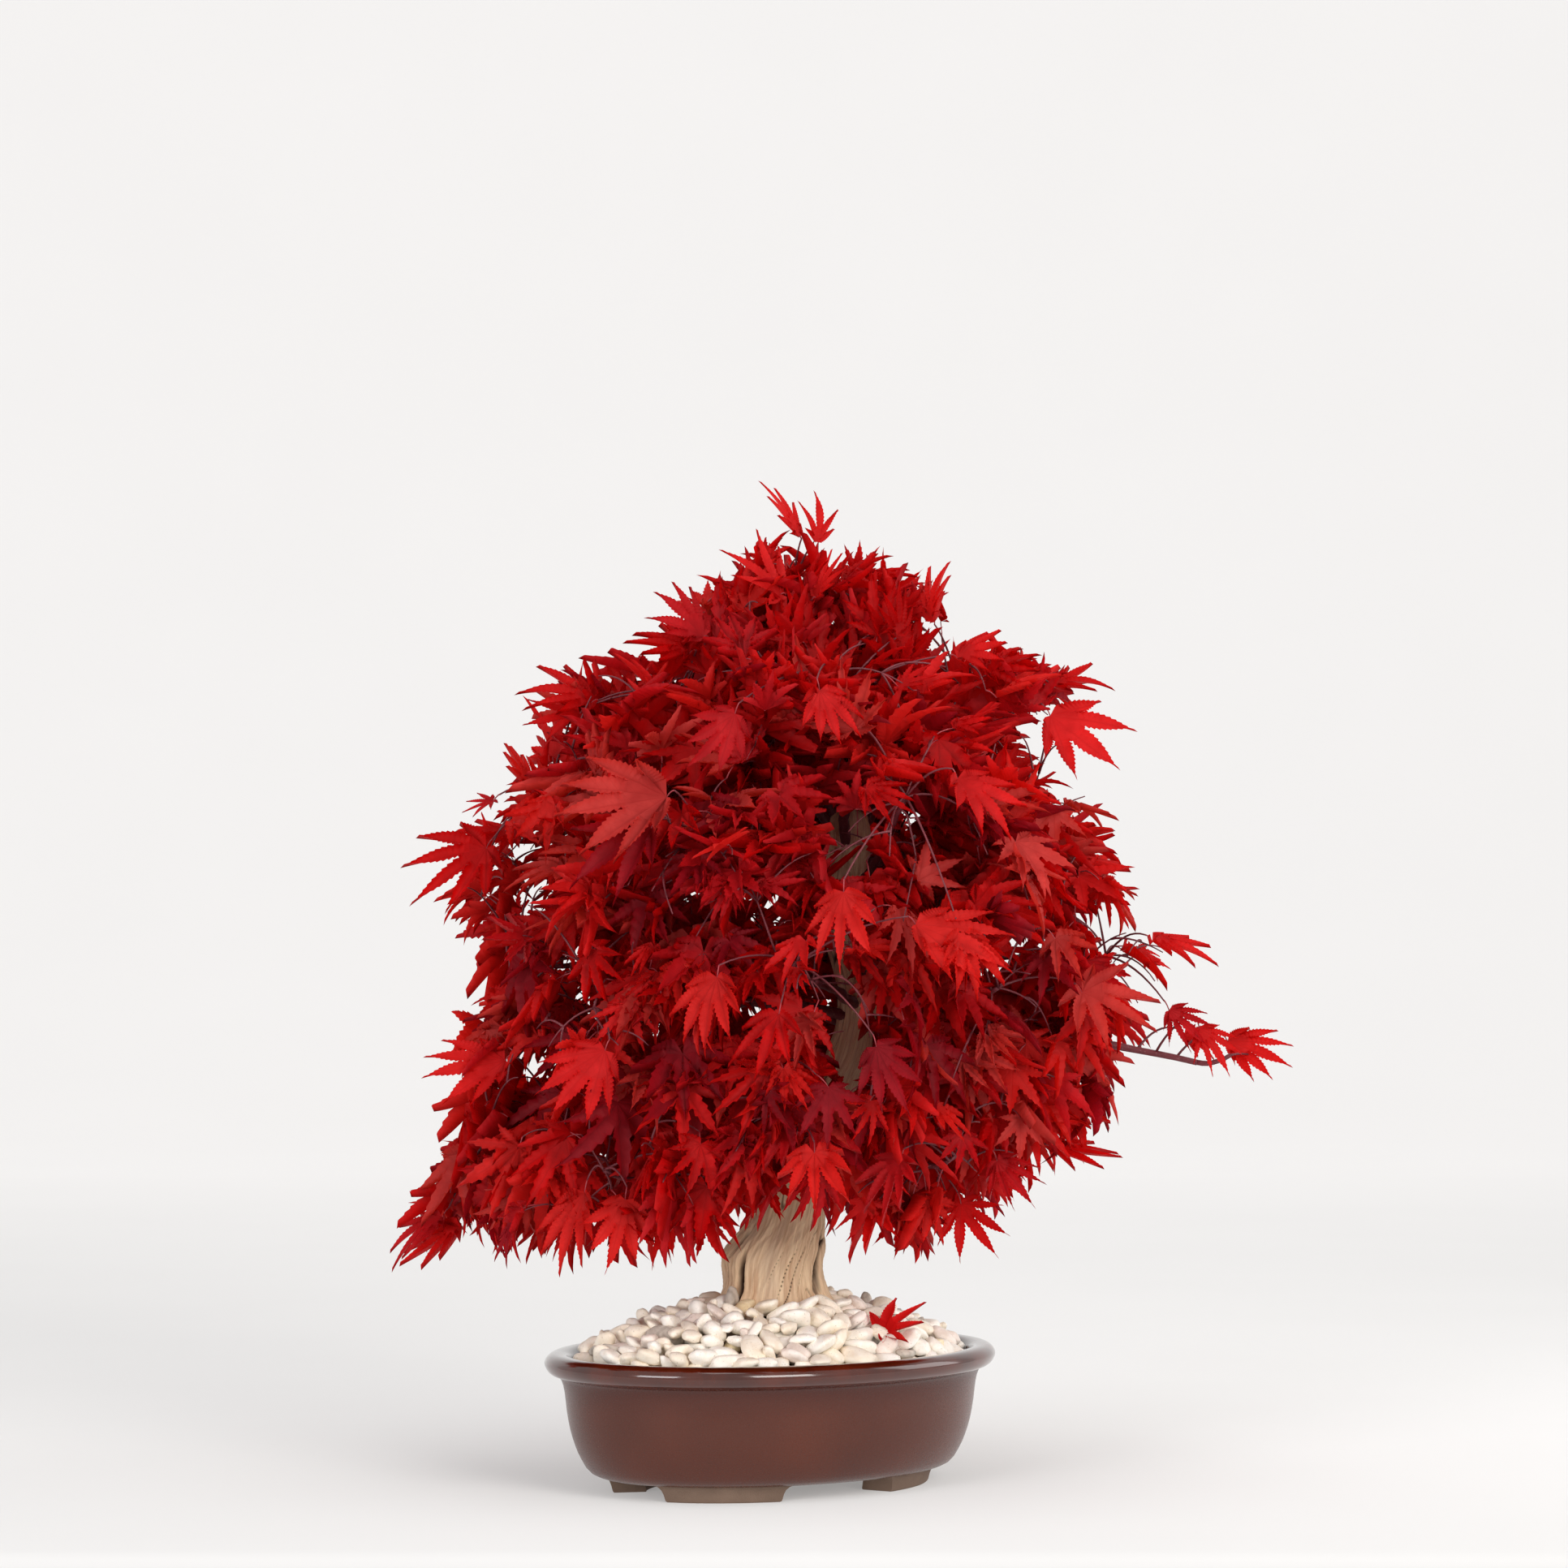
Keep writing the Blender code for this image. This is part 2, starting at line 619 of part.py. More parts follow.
def leafy_edge(point):
    """How far out a point lies in the leafy part: 0 on its axis, 1 on its outline."""
    x, y, z = to_tree @ point / MM
    if not LEAFY_LINE[0][0] <= z <= LEAFY_LINE[-1][0]:
        return 2.0
    left, right = smooth_line(LEAFY_LINE, z)
    half = (right - left) / 2
    return math.hypot((x - (left + right) / 2) / half, y / (half * LEAFY_DEPTH))


def inside(points, own, reach):
    """Whether points lie in a mass's own space.

    That is within its reach, on its own side of the others, and within the leafy outline."""
    for point in points:
        if (point - centres[own]).length > reach:
            return False
        if MASSES[own][3] > 5 and leafy_edge(point) > 1:
            return False
        for other, centre in enumerate(centres):
            if other != own:
                between = centre - centres[own]
                far = (point - centres[own]).dot(between.normalized())
                if far > between.length / 2 - 0.6 * MM:
                    return False
    return True


def room_along(start, way, own, reach):
    """How far a line runs from a point before it leaves a mass's own space."""
    run = 4 * MM
    while run < 2 * reach and inside([start + way * run], own, reach):
        run += 2 * MM
    return run - 2 * MM


def touches(verts, faces):
    search = BVHTree.FromPolygons(verts, faces)
    return any(search.overlap(limb) for limb in limb_searches)


def leaf_way(point):
    """Direction that leaves at a point turn to: away from the crown's middle, and drooping."""
    way = point - placed(*LEAFY_MIDDLE)
    way.z = way.z * 0.85
    way.normalize()
    return (way + Vector((0, 0, -0.30 * (1 - max(way.z, 0))))).normalized()


def wobble(rng, amount):
    return Vector([rng.uniform(-1, 1) for _ in range(3)]) * amount


def pick_leaf(own, reach, rng, hold, way, kind, fan, taken, near, crowd):
    """A leaf in its own space, clear of limbs and of other leaves, or None.

    Its stalk ends at the hold. A leaf of kind 0 points to the edge of the space, one of kind 1
    fans out from a twig, and one of kind 2 stands out of the core."""
    outer = leaf_way(hold)
    for trial in range(150):
        length = min(LEAF_LENGTH, reach * 0.92) * rng.uniform(0.90, 1.10) * (1 - 0.0028 * trial)
        face = outer * 0.75 + Vector((0, 0, 0.45)) + wobble(rng, 0.55)
        aim = outer * 0.45 + way * 0.50 + Vector((0, 0, -0.20)) + wobble(rng, 0.40)
        if kind == 1:
            side, up = across(outer)
            aim += (side * math.cos(fan) + up * math.sin(fan)) * 0.95
        if kind == 0:
            aim = way + wobble(rng, min(0.22, 0.02 * trial))
        aim.normalize()
        face -= aim * face.dot(aim)
        if face.length < 0.2:
            continue
        normal = face.normalized()
        root = hold
        if kind == 0:
            room = room_along(hold, aim, own, reach) * 0.985
            length = min(length, room - 5 * MM)
            run = room - length
            if length < LEAF_LENGTH * 0.6 or run > 48 * MM:
                continue
        elif kind == 1:
            run = rng.uniform(7, 18) * MM
        else:
            root = hold + wobble(rng, 7 * MM)
            run = rng.uniform(0.12, 0.55) * reach
        base = root + aim * run + normal * rng.uniform(-0.08, 0.15) * run
        end = root - (base - root).normalized() * 0.7 * MM
        back = base + aim * 0.22 * length - end
        if back.dot(aim) < 4 * MM or abs(back.dot(aim.cross(normal))) > 0.15 * back.dot(aim):
            continue
        middle = base + aim * length * 0.4
        if any((middle - other).length < (44 - 0.2 * trial) * MM for other in crowd):
            continue
        solid = leaf(end, base, aim, normal, length)
        if not inside(solid[0], own, reach) or touches(*solid):
            continue
        search = BVHTree.FromPolygons(*solid)
        blade = BVHTree.FromPolygons(*leaf(base - aim * 3 * MM, base, aim, normal, length))
        if any(search.overlap(other) for other in taken):
            continue
        if any(blade.overlap(other) for other in near):
            continue
        return solid, search, blade, middle
    return None


def core_body(own, reach, rng):
    """Small rough core of twenty faces, shrunk until it is clear of the limbs."""
    bm = bmesh.new()
    bmesh.ops.create_icosphere(bm, subdivisions=1, radius=1.0)
    shape = [(v.co.copy(), rng.uniform(0.85, 1.15)) for v in bm.verts]
    faces = [tuple(v.index for v in f.verts) for f in bm.faces]
    bm.free()
    size = 0.26 * reach
    while True:
        verts = [centres[own] + Vector((c.x, c.y, c.z * 0.8)) * (r * size) for c, r in shape]
        if inside(verts, own, reach) and not touches(verts, faces):
            return verts, faces, size
        size *= 0.93


def grow(own, rng):
    """Stem, core, twigs and leaves of one mass, as separate closed pieces."""
    name, middle, reach, leaves, height = MASSES[own]
    reach *= MM
    centre = centres[own]
    points = boughs[name]
    heading = (points[-1] - points[-2]).normalized()
    foot = points[-1] + heading * CLEAR
    outer = leaf_way(centre)
    *core, core_size = core_body(own, reach * (1.0 if leaves > 5 else 0.2), rng)
    search_core = BVHTree.FromPolygons(*core)
    bend = foot + heading * 6 * MM
    stem = tube([foot, bend, centre], [STEM_RADIUS, STEM_RADIUS, TWIG_RADIUS], 3)
    search_stem = BVHTree.FromPolygons(*stem)
    if any(search_stem.overlap(limb) for i, limb in enumerate(limb_searches) if i != own + 1):
        print("stem crosses a limb:", name)
    pieces = [core, stem]
    taken = [search_stem] if leaves > 5 else []
    crowd = []
    made, golden = 0, rng.uniform(0, 6.28)
    for turn in range(150):
        if made >= leaves:
            break
        golden += 2.39996
        level = rng.uniform(-0.9, 0.95)
        flat = math.sqrt(1 - level * level)
        way = Vector((flat * math.cos(golden), flat * math.sin(golden), level))
        if turn == 0:
            way = outer.copy()
        if way.dot(outer) < -0.35:
            continue
        if 0 < turn < 24 and len(pieces) < 2 + 6 * 3 and turn % 2 == 0 and leaves > 5:
            room = room_along(centre, way, own, reach)
            tip = centre + way * max(core_size + 8 * MM, room * rng.uniform(0.42, 0.66))
            twig = tube([centre, tip], [TWIG_RADIUS * 1.1, TWIG_RADIUS * 0.9], 3, golden)
            search_twig = BVHTree.FromPolygons(*twig)
            if not inside(twig[0], own, reach) or touches(*twig):
                continue
            if any(search_twig.overlap(other) for other in taken[1:]):
                continue
            spray, near = [], [search_twig, search_core]
            for part in range(2):
                hold = tip - way * (2.0 + 1.5 * part) * MM
                found = pick_leaf(own, reach, rng, hold, way, 1, golden + part * math.pi, taken,
                                  near, crowd + [f[3] for f in spray])
                if found:
                    spray.append(found)
                    near.append(found[2])
            if not spray:
                continue
            pieces.append(twig)
            taken.append(search_twig)
        else:
            hold = centre + way * core_size * 0.5
            kind = 0 if turn in (0, 1, 3, 5) else 2
            if turn in (1, 3, 5):
                way = (way * 0.6 + outer).normalized()
            if leaves < 5:
                way = (way * 0.9 + outer).normalized()
                hold = foot + (centre - foot) * (0.9 - 0.28 * made)
                kind = 0 if made == 0 else 1
            found = pick_leaf(own, reach, rng, hold, way, kind, golden, taken, [search_core],
                              crowd)
            spray = [found] if found else []
        for solid, search, blade, middle in spray:
            taken.append(search)
            crowd.append(middle)
            if made < leaves:
                pieces.append(solid)
                made += 1
    return pieces, made


total_leaves = 0
for own, row in enumerate(MASSES):
    name = row[0]
    mesh = None
    for attempt in range(6):
        rng = random.Random(SEED * 1000 + own * 17 + attempt)
        pieces, made = grow(own, rng)
        mesh = union(name, pieces, "EXACT" if attempt < 4 else "MANIFOLD")
        if mesh:
            break
    verts, faces = mesh_lists(mesh)
    material = make_material(name + "_leaves", leaf_reds[own % len(leaf_reds)], 0.55)
    make_object(name, verts, faces, material, root)
    bpy.data.meshes.remove(mesh)
    total_leaves += made
    print(name, "leaves", made, "triangles", len(faces), "tries", attempt + 1)
print("leaves in all", total_leaves)


# --- Origin: under the middle of the plant's box, on the level the feet stand on --------------

bpy.context.view_layer.update()
corners = []
for item in bpy.data.objects:
    if item.type == "MESH":
        corners += [item.matrix_world @ v.co for v in item.data.vertices]
root.location = Vector((-(min(c.x for c in corners) + max(c.x for c in corners)) / 2,
                        -(min(c.y for c in corners) + max(c.y for c in corners)) / 2, 0))
bpy.context.view_layer.update()
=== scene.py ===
import math
import random

import bmesh
import bpy
import numpy as np
from mathutils import Matrix, Vector, noise


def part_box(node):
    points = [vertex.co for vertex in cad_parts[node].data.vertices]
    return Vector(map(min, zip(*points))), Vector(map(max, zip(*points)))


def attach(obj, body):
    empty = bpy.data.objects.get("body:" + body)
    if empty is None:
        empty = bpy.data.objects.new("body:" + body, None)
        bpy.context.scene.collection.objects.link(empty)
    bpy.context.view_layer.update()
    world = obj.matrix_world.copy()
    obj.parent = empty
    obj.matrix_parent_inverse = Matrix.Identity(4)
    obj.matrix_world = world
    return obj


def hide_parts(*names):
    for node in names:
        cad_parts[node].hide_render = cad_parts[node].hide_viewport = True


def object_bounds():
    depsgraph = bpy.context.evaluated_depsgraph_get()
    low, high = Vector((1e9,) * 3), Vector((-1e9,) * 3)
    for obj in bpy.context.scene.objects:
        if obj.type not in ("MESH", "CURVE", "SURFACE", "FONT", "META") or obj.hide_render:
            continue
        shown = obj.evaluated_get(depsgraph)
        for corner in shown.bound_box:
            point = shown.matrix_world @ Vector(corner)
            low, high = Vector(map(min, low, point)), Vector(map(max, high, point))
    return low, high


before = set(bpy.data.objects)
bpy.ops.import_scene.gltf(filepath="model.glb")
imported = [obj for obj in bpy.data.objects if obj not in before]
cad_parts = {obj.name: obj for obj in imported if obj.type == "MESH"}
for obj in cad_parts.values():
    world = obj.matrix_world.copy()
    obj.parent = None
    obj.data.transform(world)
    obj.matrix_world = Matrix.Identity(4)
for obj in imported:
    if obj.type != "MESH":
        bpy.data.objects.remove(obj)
cad_low, cad_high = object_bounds()
MM = 0.001


# --- Pot ---
# An oval bonsai pot of brown stoneware, pressed in a mould together with its rolled lip and four
# low feet. It is dipped in iron glaze, which lies thick and glossy on the lip and thin on the
# wall, and the feet and underside are left as bare fired clay.

pot_low, pot_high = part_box("pot")
pot_middle = (pot_low + pot_high) / 2
pot_half = (pot_high - pot_low) / 2
pot_axis = Vector((pot_middle.x, pot_middle.y, 0))
POT_SIDES = 168
FOOT_ANGLE = 45                  # where on the oval each foot's middle stands (degrees)
FOOT_HALF_ANGLE = 24
FOOT_STEPS = 14
BARE_RINGS = 3                   # rings at the middle of the underside that stay unglazed

# Inset from the widest oval and height, in mm, from the underside up to the lip and down inside
POT_WALL = ((80, 12.5), (60, 12.5), (50, 12.9), (45, 13.6), (41, 14.9), (37, 16.9), (33, 21),
            (29.5, 27), (26.7, 32.5), (24.5, 38), (22.3, 44.5), (20.5, 51), (19, 58.5),
            (17.8, 66), (16.9, 74), (16.0, 81), (14.9, 86), (13.4, 90), (11.9, 92.1), (10.2, 93.3),
            (7.9, 94.0))
POT_LIP = ((7.9, 94.0), (5.4, 95.0), (3.2, 96.6), (1.5, 98.8), (0.4, 101.2), (0, 103.2),
           (0.4, 105.2), (1.6, 107.4), (3.6, 109.3), (6.2, 110.6), (9.5, 111.1),
           (13.5, 110.9), (16.8, 110.4), (19.4, 108.8), (21.2, 106.2), (22, 102))
POT_INSIDE = ((22, 102), (24, 88), (27, 70), (34, 40), (46, 22), (90, 22))
# A foot from the ground up: height, inset outside and inside (mm), and draw at its ends (degrees)
FOOT_ROWS = ((0.0, 56.0, 81.5, 2.2), (0.6, 55.2, 82.0, 1.7), (1.6, 54.6, 81.8, 1.5),
             (6.0, 53.4, 80.6, 1.1), (9.5, 52.0, 79.4, 0.5), (12.0, 50.6, 78.6, -0.6),
             (13.8, 49.4, 78.0, -2.4))


def linear(code):
    """Linear colour of an sRGB hex code."""
    steps = [int(code[i:i + 2], 16) / 255 for i in (0, 2, 4)]
    return tuple(c / 12.92 if c <= 0.04045 else ((c + 0.055) / 1.055) ** 2.4 for c in steps) + (1,)


def add(tree, kind, into=None, **settings):
    """Adds a shader node, with its settings, and what goes into its sockets: values or links."""
    made = tree.nodes.new("ShaderNode" + kind)
    for name, value in settings.items():
        setattr(made, name, value)
    for socket, value in (into or {}).items():
        if isinstance(value, bpy.types.NodeSocket):
            tree.links.new(value, made.inputs[socket])
        else:
            made.inputs[socket].default_value = value
    return made


def finish_named(name, shader=None):
    """A new material: its node tree, and its Principled shader with the values given."""
    material = bpy.data.materials.new(name)
    material.use_nodes = True
    surface = material.node_tree.nodes["Principled BSDF"]
    for socket, value in (shader or {}).items():
        surface.inputs[socket].default_value = value
    return material, material.node_tree, surface


def stand_in_scene(name, data):
    """An object with its data, set into the scene."""
    item = bpy.data.objects.new(name, data)
    bpy.context.scene.collection.objects.link(item)
    return item


def shape(name, verts, faces, materials, slots=None):
    """A smooth mesh with its materials. Slots number the material of each face."""
    mesh = bpy.data.meshes.new(name)
    mesh.from_pydata(np.asarray(verts, float), [], faces)
    for material in materials:
        mesh.materials.append(material)
    if slots is not None:
        mesh.polygons.foreach_set("material_index", np.asarray(slots, np.int32))
    mesh.shade_smooth()
    mesh.update()
    return stand_in_scene(name, mesh)


def piece(name, verts, faces, materials, slots=None):
    """A shape that rides on the plant's one body."""
    item = shape(name, verts, faces, materials, slots)
    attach(item, "root")
    return item


def turns(sides):
    """Angles of the points round a ring."""
    return [2 * math.pi * k / sides for k in range(sides)]


def oval_point(inset, height, angle):
    """A point of the pot in metres, from an inset and a height in mm."""
    return ((pot_half.x - inset * MM) * math.cos(angle) + pot_middle.x,
            (pot_half.y - inset * MM) * math.sin(angle) + pot_middle.y, height * MM)


def ring_faces(rings, sides, first=0, turned=False):
    """Faces between rings of points laid one after another, numbered from first.

    Turned faces look the other way: for rings that widen outward, or run clockwise."""
    corners = [(first + i * sides + k, first + i * sides + (k + 1) % sides)
               for i in range(rings - 1) for k in range(sides)]
    return [(a, a + sides, b + sides, b) if turned else (a, b, b + sides, a + sides)
            for a, b in corners]


# Satin iron glaze on the wall: milk-chocolate brown, mottled over a few centimetres, with fine
# darker iron specks and a faint ripple that softens what it reflects
wall_glaze, tree, surface = finish_named("iron glaze, thin and satin", {"IOR": 1.5})
place = add(tree, "TexCoord").outputs["Object"]
mottle = add(tree, "TexNoise", {"Vector": place, "Scale": 1 / (60 * MM), "Detail": 1})
specks = add(tree, "TexNoise", {"Vector": place, "Scale": 1 / (1.8 * MM), "Detail": 2})
speck = add(tree, "MapRange", {"Value": specks.outputs["Fac"], "From Min": 0.64,
                               "From Max": 0.76, "To Max": 0.5})
brown = add(tree, "Mix", {0: mottle.outputs["Fac"], 6: linear("421809"), 7: linear("56230F")},
            data_type="RGBA")
# Under the lip the glaze is thicker and turns to the lip's own red-brown
height = add(tree, "SeparateXYZ", {"Vector": place})
thick = add(tree, "MapRange", {"Value": height.outputs["Z"], "From Min": 70 * MM,
                               "From Max": 91 * MM})
ruddy = add(tree, "Mix", {0: thick.outputs["Result"], 6: brown.outputs[2], 7: linear("431608")},
            data_type="RGBA")
spotted = add(tree, "Mix", {0: speck.outputs["Result"], 6: ruddy.outputs[2], 7: linear("32180F")},
              data_type="RGBA")
satin = add(tree, "MapRange", {"Value": specks.outputs["Fac"], "To Min": 0.25, "To Max": 0.29})
ripple = add(tree, "TexNoise", {"Vector": place, "Scale": 1 / (22 * MM), "Detail": 0})
relief = add(tree, "Bump", {"Height": ripple.outputs["Fac"], "Distance": 0.5 * MM,
                            "Strength": 0.15})
tree.links.new(spotted.outputs[2], surface.inputs["Base Color"])
tree.links.new(satin.outputs["Result"], surface.inputs["Roughness"])
tree.links.new(relief.outputs["Normal"], surface.inputs["Normal"])

# The same glaze pooled on the lip: darker, redder and glassy, broken to amber where it thins
lip_glaze, tree, surface = finish_named("iron glaze, pooled and glossy", {
    "IOR": 1.52, "Coat Weight": 0.6, "Coat Roughness": 0.06})
place = add(tree, "TexCoord").outputs["Object"]
pool = add(tree, "TexNoise", {"Vector": place, "Scale": 1 / (26 * MM), "Detail": 5})
run = add(tree, "MapRange", {"Value": pool.outputs["Fac"], "From Min": 0.35, "From Max": 0.7})
red_brown = add(tree, "Mix", {0: run.outputs["Result"], 6: linear("3C1205"),
                              7: linear("531C0A")}, data_type="RGBA")
gloss = add(tree, "MapRange", {"Value": pool.outputs["Fac"], "To Min": 0.10, "To Max": 0.22})
wave = add(tree, "TexNoise", {"Vector": place, "Scale": 1 / (14 * MM), "Detail": 0})
relief = add(tree, "Bump", {"Height": wave.outputs["Fac"], "Distance": 0.6 * MM, "Strength": 0.2})
tree.links.new(red_brown.outputs[2], surface.inputs["Base Color"])
tree.links.new(gloss.outputs["Result"], surface.inputs["Roughness"])
tree.links.new(relief.outputs["Normal"], surface.inputs["Normal"])

# Bare fired clay: dull grey-brown, gritty to about a millimetre
bare_clay, tree, surface = finish_named("bare fired stoneware")
place = add(tree, "TexCoord").outputs["Object"]
cloud = add(tree, "TexNoise", {"Vector": place, "Scale": 1 / (20 * MM), "Detail": 5})
grit = add(tree, "TexNoise", {"Vector": place, "Scale": 1 / (1.2 * MM), "Detail": 3})
clay = add(tree, "Mix", {0: cloud.outputs["Fac"], 6: linear("5C483B"), 7: linear("7E6757")},
           data_type="RGBA")
dull = add(tree, "MapRange", {"Value": grit.outputs["Fac"], "To Min": 0.75, "To Max": 0.95})
relief = add(tree, "Bump", {"Height": grit.outputs["Fac"], "Distance": 0.5 * MM, "Strength": 0.6})
tree.links.new(clay.outputs[2], surface.inputs["Base Color"])
tree.links.new(dull.outputs["Result"], surface.inputs["Roughness"])
tree.links.new(relief.outputs["Normal"], surface.inputs["Normal"])

verts, faces, slots = [], [], []
for profile, slot in ((POT_WALL, 0), (POT_LIP, 1), (POT_INSIDE, 2)):
    walls = ring_faces(len(profile), POT_SIDES, len(verts))
    verts += [oval_point(inset, height, angle)
              for inset, height in profile for angle in turns(POT_SIDES)]
    faces += walls
    slots += [2 if slot == 0 and i < BARE_RINGS * POT_SIDES else slot for i in range(len(walls))]
for end, turned in ((0, True), (len(verts) - POT_SIDES, False)):
    ring = list(range(end, end + POT_SIDES))
    faces.append(tuple(reversed(ring)) if turned else tuple(ring))
    slots.append(2)
# Each foot is a short curved bar. Its ends slope in toward the ground and its edges are rounded.
for quarter in (FOOT_ANGLE, 180 - FOOT_ANGLE, 180 + FOOT_ANGLE, -FOOT_ANGLE):
    first, around = len(verts), 2 * (FOOT_STEPS + 1)
    for height, outer, inner, draw in FOOT_ROWS:
        half = FOOT_HALF_ANGLE - draw
        ring = [(outer, k) for k in range(FOOT_STEPS + 1)]
        ring += [(inner, k) for k in range(FOOT_STEPS, -1, -1)]
        for inset, k in ring:
            angle = math.radians(quarter - half + 2 * half * k / FOOT_STEPS)
            verts.append(oval_point(inset, height, angle))
    faces += ring_faces(len(FOOT_ROWS), around, first)
    faces.append(tuple(range(first + around - 1, first - 1, -1)))
    slots += [2] * ((len(FOOT_ROWS) - 1) * around + 1)
pot = piece("pot_stoneware", verts, faces, [wall_glaze, lip_glaze, bare_clay], slots)
pot.data.set_sharp_from_angle(angle=math.radians(38))
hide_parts("pot")


# --- Trunk ---
# A piece of weathered driftwood, sanded by water to bare grey-tan wood. It is wedged upright in
# the pot's filler, leans to the right and carries a burl low on the left, and its grain has
# opened into long cracks as it dried.

TREE_TURN = math.radians(-36.0)
to_pot = Matrix.Rotation(TREE_TURN, 3, "Z")
to_tree = to_pot.transposed()
TRUNK_ROUND = 224
BED_TOP = 146                    # height of the pebbles at the trunk's foot (mm)
GRAIN_RADIUS = 30 * MM           # the grain's map wraps the trunk at this radius
FINE_STEP, COARSE_STEP = 0.8, 1.7  # spacing of rings on the bare stem, and in the crown (mm)
FINE_RINGS = 165

# Trunk centre line and half width: height, x, y, half width (mm)
TRUNK_LINE = ((146, -1, 0, 45), (158, 0, 0, 41), (177, 1, 0, 38.5), (193, 5, 0, 37),
              (211, 11, 1, 31.5), (236, 17, 2, 28), (262, 24, 3, 25.5), (310, 45, 4, 21),
              (350, 62, 4, 17), (390, 68, 2, 16), (442, 58, 0, 17), (485, 59, -1, 17.5),
              (520, 62, 0, 17.5), (536, 62, 0, 14.5), (541, 62, 0, 9))
TRUNK_LOW, TRUNK_TOP = 140, TRUNK_LINE[-1][0]
CAP_LOW = 532                    # above this the sawn end is worn and lumpy (mm)
# A crevice low on the left, where the burl folds over the stem, and knots by the burl and top:
# angle, height, half width, half height and depth (mm)
HOLLOWS = ((3.97, 168, 3.4, 24, 7), (3.55, 197, 5, 10, 3), (4.3, 527, 5, 6, 5),
           (5.1, 505, 4, 6, 3))


def placed(x, y, z):
    """A point of the tree, which is turned in its pot, in metres from millimetres."""
    return to_pot @ Vector((x, y, z)) * MM + pot_axis


def smooth_line(rows, height):
    """Value of a table of rows at a height, along a smooth curve through the rows."""
    heights = [row[0] for row in rows]
    height = min(max(height, heights[0]), heights[-1])
    i = min(max(sum(1 for h in heights if h <= height) - 1, 0), len(rows) - 2)
    t = (height - heights[i]) / (heights[i + 1] - heights[i])
    before, after = rows[max(i - 1, 0)], rows[min(i + 2, len(rows) - 1)]
    low, high = rows[i], rows[i + 1]
    span = high[0] - low[0]
    values = []
    for c in range(1, len(low)):
        rise_in = (high[c] - before[c]) / (high[0] - before[0]) * span
        rise_out = (after[c] - low[c]) / (after[0] - low[0]) * span
        values.append((2 * t ** 3 - 3 * t ** 2 + 1) * low[c] + (t ** 3 - 2 * t ** 2 + t) * rise_in
                      + (3 * t ** 2 - 2 * t ** 3) * high[c] + (t ** 3 - t ** 2) * rise_out)
    return values


def trunk_radius(angle, height, half):
    """Half width of the trunk toward an angle: long flutes, foot flares and a burl on the left."""
    twist = angle - 0.006 * (height - BED_TOP)
    flute = 0.055 * math.sin(3 * twist + 0.6) + 0.04 * math.sin(5 * twist + 2.1)
    foot = max(0.0, 1 - (height - BED_TOP) / 30.0)
    flare = 0.10 * foot * foot * (0.5 + 0.5 * math.cos(5 * angle + 0.4))
    depth = 1 - 0.12 * abs(math.sin(angle))
    burl = 5.5 * math.exp(-((height - 184) / 13.0) ** 2) * max(0.0, math.cos(angle - 3.3)) ** 2
    return half * depth * (1 + flute + flare) + burl


def wood_relief(angle, height, half):
    """Height of the wood's surface in mm, and how deep in a crack it lies (0 to 1), for painted
    shade.
    """
    lean = angle - 0.0075 * (height - BED_TOP) + 0.10 * noise.noise(Vector((0, 4, height / 60)))
    round_x, round_y = math.cos(lean) * half, math.sin(lean) * half
    # Each relief's width across and along the grain, in mm, and where in the noise it lies
    ridge, grain, fine, split, where = [
        noise.noise(Vector((round_x / wide + in_x, round_y / wide + in_y, height / tall)))
        for wide, tall, in_x, in_y in ((5.5, 95, 0, 0), (1.9, 42, 0, 0), (0.8, 16, 0, 0),
                                       (11, 120, 7, 0), (22, 55, 0, 9))]
    crack = math.exp(-(split / 0.035) ** 2) * min(max(where * 3 + 0.6, 0), 1)
    hollow = 0.0
    for at, up, wide, tall, deep in HOLLOWS:
        off = math.remainder(angle - at, 2 * math.pi) * half
        far = math.hypot(off / wide, (height - up) / tall)
        hollow += deep * (math.exp(-far ** 2 * 1.6) - 0.28 * math.exp(-((far - 1.45) / 0.4) ** 2))
    level = 1.3 * ridge + 0.8 * grain + 0.35 * fine - 2.6 * crack - hollow
    return level, min(crack + max(hollow, 0) / 6 + max(-ridge, 0) * 0.25, 1)


# Dry driftwood: matt and grey-tan, with dark brown painted shade in its cracks, knots and grooves.
# Streaks are about 2.4 mm wide and 45 mm long, and greyer patches 17 mm by 110 mm. The mesh's own
# "crack" value says how deep a point lies, and so how much painted shade it gets.
driftwood, tree, surface = finish_named("weathered driftwood", {"IOR": 1.4})
place = add(tree, "UVMap", uv_map="grain")
stretch = add(tree, "Mapping", {"Vector": place.outputs["UV"], "Scale": (420, 22, 1)})
streak = add(tree, "TexNoise", {"Vector": stretch.outputs["Vector"], "Scale": 1.0, "Detail": 6,
                                "Roughness": 0.62})
broad = add(tree, "Mapping", {"Vector": place.outputs["UV"], "Scale": (60, 9, 1)})
patch = add(tree, "TexNoise", {"Vector": broad.outputs["Vector"], "Scale": 1.0, "Detail": 3})
contrast = add(tree, "MapRange", {"Value": streak.outputs["Fac"], "From Min": 0.32,
                                  "From Max": 0.68})
tan = add(tree, "Mix", {0: contrast.outputs["Result"], 6: linear("C09876"), 7: linear("F6DCB6")},
          data_type="RGBA")
grey = add(tree, "MapRange", {"Value": patch.outputs["Fac"], "From Min": 0.45, "From Max": 0.75,
                              "To Max": 0.55})
weathered = add(tree, "Mix", {0: grey.outputs["Result"], 6: tan.outputs[2],
                              7: linear("CDB89F")}, data_type="RGBA")
# Painted shade: the deeper a point lies in a crack, knot or groove, the darker brown it is made
depth = add(tree, "Attribute", attribute_name="crack")
deep = add(tree, "MapRange", {"Value": depth.outputs["Fac"], "From Min": 0.12, "From Max": 0.8})
